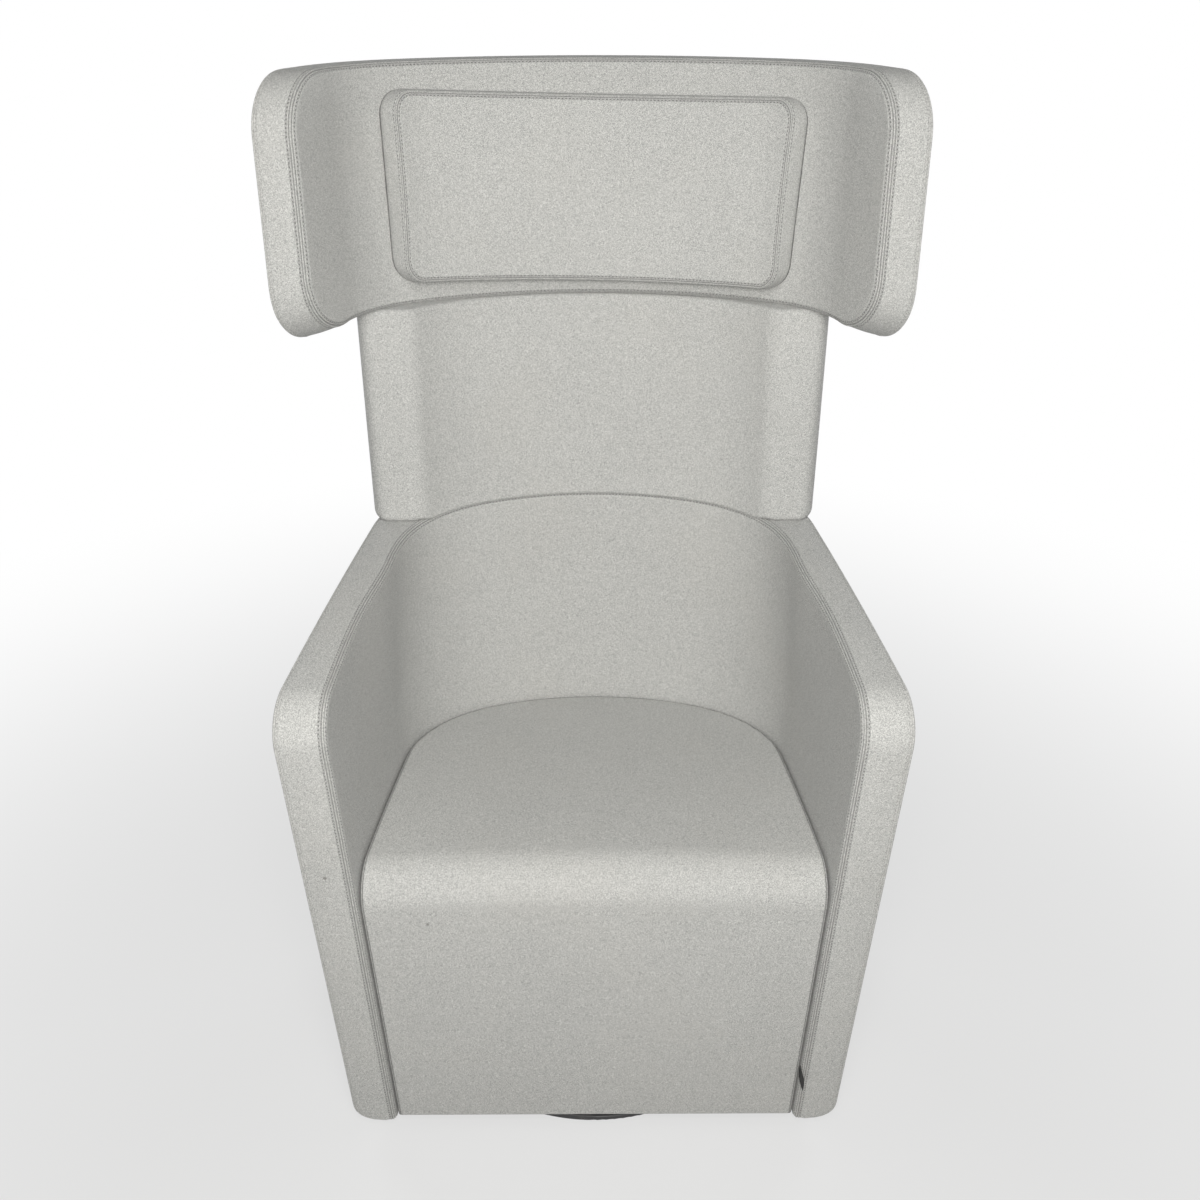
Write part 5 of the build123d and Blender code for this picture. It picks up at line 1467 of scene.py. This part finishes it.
    @staticmethod
    def rear_of(wall, x, z):
        """How far back a strap reaches at x, 1 mm short of the wall."""
        arcs = wall.arcs(z)
        if x > arcs.x + arcs.corner * cos(arcs.end):
            return arcs.y + sqrt(max(arcs.corner ** 2 - (x - arcs.x) ** 2, 0)) - 1
        return arcs.hub + sqrt(arcs.back ** 2 - x * x) - 1

    def strap(self, skin, lines):
        points = np.stack(lines)
        add_sheet(skin, points, points - (0, 0, self.strap_thick))


class FinishHardware(bpy.types.Operator):
    """Give the floor plate, swivel, frame and fastenings their finishes."""
    bl_idname = "chair.finish_hardware"
    bl_label = "Finish hardware"

    def execute(self, context):
        hardware = context.scene.chair_hardware
        finishes = {
            "dark_steel": coat_finish(hardware),
            "zinc_steel": zinc_finish(hardware),
            "polished_steel": polish_finish(),
            "plywood": ply_finish(hardware),
            "black_plastic": plastic_finish(),
            "black_cloth": black_cloth(context),
            "grey_felt": felt(context),
            "foam": felt(context),
        }
        for part in frame["record"]["subparts"]:
            node = frame["nodes"][part["node"]]
            for slot in node.material_slots:
                slot.material = finishes[part["material_slot"]]
        return {"FINISHED"}


CAMERA_PLACE, CAMERA_TILT, CAMERA_TURN, LENS, SENSOR = (0.0, -1.434, 1.397), 62.68, -0.31, 38.46, 36.0
LAMP_AIM = (0.0, 0.0, 0.65)
FLOOR_REACH = 6.0


class SetStage(bpy.types.Operator):
    """Set the floor, backdrop, lights and camera."""
    bl_idname = "chair.set_stage"
    bl_label = "Set stage"

    def execute(self, context):
        stage = context.scene.chair_stage
        self.floor(stage)
        self.lights(context, stage)
        self.camera(context)
        context.scene.view_settings.view_transform = "Standard"
        return {"FINISHED"}

    def floor(self, stage):
        mesh = bpy.data.meshes.new("floor")
        corners = [(x * FLOOR_REACH, y * FLOOR_REACH, 0) for x, y in ((-1, -1), (1, -1), (1, 1), (-1, 1))]
        mesh.from_pydata(corners, [], [(0, 1, 2, 3)])
        floor = bpy.data.objects.new("floor", mesh)
        bpy.context.scene.collection.objects.link(floor)
        paint = Paint("pale_floor", Roughness=0.9)
        grain = paint.noise(220.0, 3.0)
        colour = paint.mix(grain * 0.12, tuple(stage.floor), darker(stage.floor, 0.9))
        mesh.materials.append(paint.wear(Base_Color=colour))
        self.fade(paint, stage)

    @staticmethod
    def fade(paint, stage):
        """Lets the floor go to plain white away from the chair, for the camera and reflections alone."""
        away = paint.node("ShaderNodeVectorMath", {"operation": "LENGTH"}, {0: paint.place}, output="Value")
        share = paint.in_view() * (away.ramp(0.5, 2.2) * (1.0 - stage.near) + stage.near)
        white = paint.node("ShaderNodeEmission", {}, {"Color": (1.0, 1.0, 1.0), "Strength": 1.0})
        lit = Value(paint, paint.shader.outputs[0])
        paint.finish(paint.node("ShaderNodeMixShader", {}, {0: share, 1: lit, 2: white}), "Material Output")

    def lights(self, context, stage):
        """Soft light all round, plain white where the camera sees it, and four lamps."""
        world = bpy.data.worlds.new("soft_room")
        context.scene.world = world
        world.use_nodes = True
        world.node_tree.nodes.remove(world.node_tree.nodes["Background"])
        room = Graph(world.node_tree)
        sky = room.node("ShaderNodeBackground", {}, {"Color": (0.80, 0.92, 1.0), "Strength": stage.sky})
        white = room.node("ShaderNodeBackground", {}, {"Color": (1.0, 1.0, 1.0)})
        shown = room.node("ShaderNodeMixShader", {}, {0: room.in_view(), 1: sky, 2: white})
        room.finish(shown, "World Output")
        self.lamp("front_lamp", (0.02, -1.75, 1.5), 0.8, stage.front, (1.0, 0.985, 0.945))
        self.lamp("high_lamp", (0.0, -1.5, 2.4), 1.0, stage.high, (1.0, 0.99, 0.96))
        for name, x in (("rear_lamp_left", -1.9), ("rear_lamp_right", 1.9)):
            self.lamp(name, (x, 2.0, 1.1), 1.4, stage.rear, (0.97, 0.985, 1.0))

    @staticmethod
    def lamp(name, place, size, power, colour):
        data = bpy.data.lights.new(name, "AREA")
        data.shape, data.size, data.energy, data.color = "DISK", size, power, colour
        lamp = bpy.data.objects.new(name, data)
        bpy.context.scene.collection.objects.link(lamp)
        lamp.location = place
        lamp.rotation_euler = (Vector(LAMP_AIM) - Vector(place)).to_track_quat("-Z", "Y").to_euler()

    @staticmethod
    def camera(context):
        data = bpy.data.cameras.new("camera")
        data.lens, data.sensor_width, data.sensor_fit = LENS, SENSOR, "HORIZONTAL"
        camera = bpy.data.objects.new("camera", data)
        context.scene.collection.objects.link(camera)
        camera.location = CAMERA_PLACE
        camera.rotation_euler = Euler((radians(CAMERA_TILT), 0.0, radians(CAMERA_TURN)))
        context.scene.camera = camera


class ChairPanel(bpy.types.Panel):
    """Sidebar panel that lists the chair's build steps."""
    bl_idname = "VIEW3D_PT_lounge_chair"
    bl_label = "Lounge chair"
    bl_space_type = "VIEW_3D"
    bl_region_type = "UI"
    bl_category = "Chair"

    def draw(self, context):
        for name in GROUPS:
            settings = getattr(context.scene, name)
            for prop in settings.bl_rna.properties:
                if prop.identifier not in ("rna_type", "name"):
                    self.layout.prop(settings, prop.identifier)
        for operator in STEPS:
            self.layout.operator(operator.bl_idname)


STEPS = (SetStage, BuildTub, BuildMiddleBack, BuildHeadBand, BuildHeadPad, BuildSeat, BuildCloth,
         FinishHardware)
GROUPS = {"chair_seams": ChairSeams, "chair_felt": ChairFelt, "chair_hardware": ChairHardware,
          "chair_stage": ChairStage}


def register():
    for kind in (*GROUPS.values(), *STEPS, ChairPanel):
        bpy.utils.register_class(kind)
    for name, kind in GROUPS.items():
        setattr(bpy.types.Scene, name, bpy.props.PointerProperty(type=kind))


def unregister():
    for name in GROUPS:
        delattr(bpy.types.Scene, name)
    for kind in reversed((*GROUPS.values(), *STEPS, ChairPanel)):
        bpy.utils.unregister_class(kind)


def main():
    register()
    for step in STEPS:
        getattr(bpy.ops.chair, step.bl_idname.split(".")[1])()


if __name__ == "__main__":
    main()
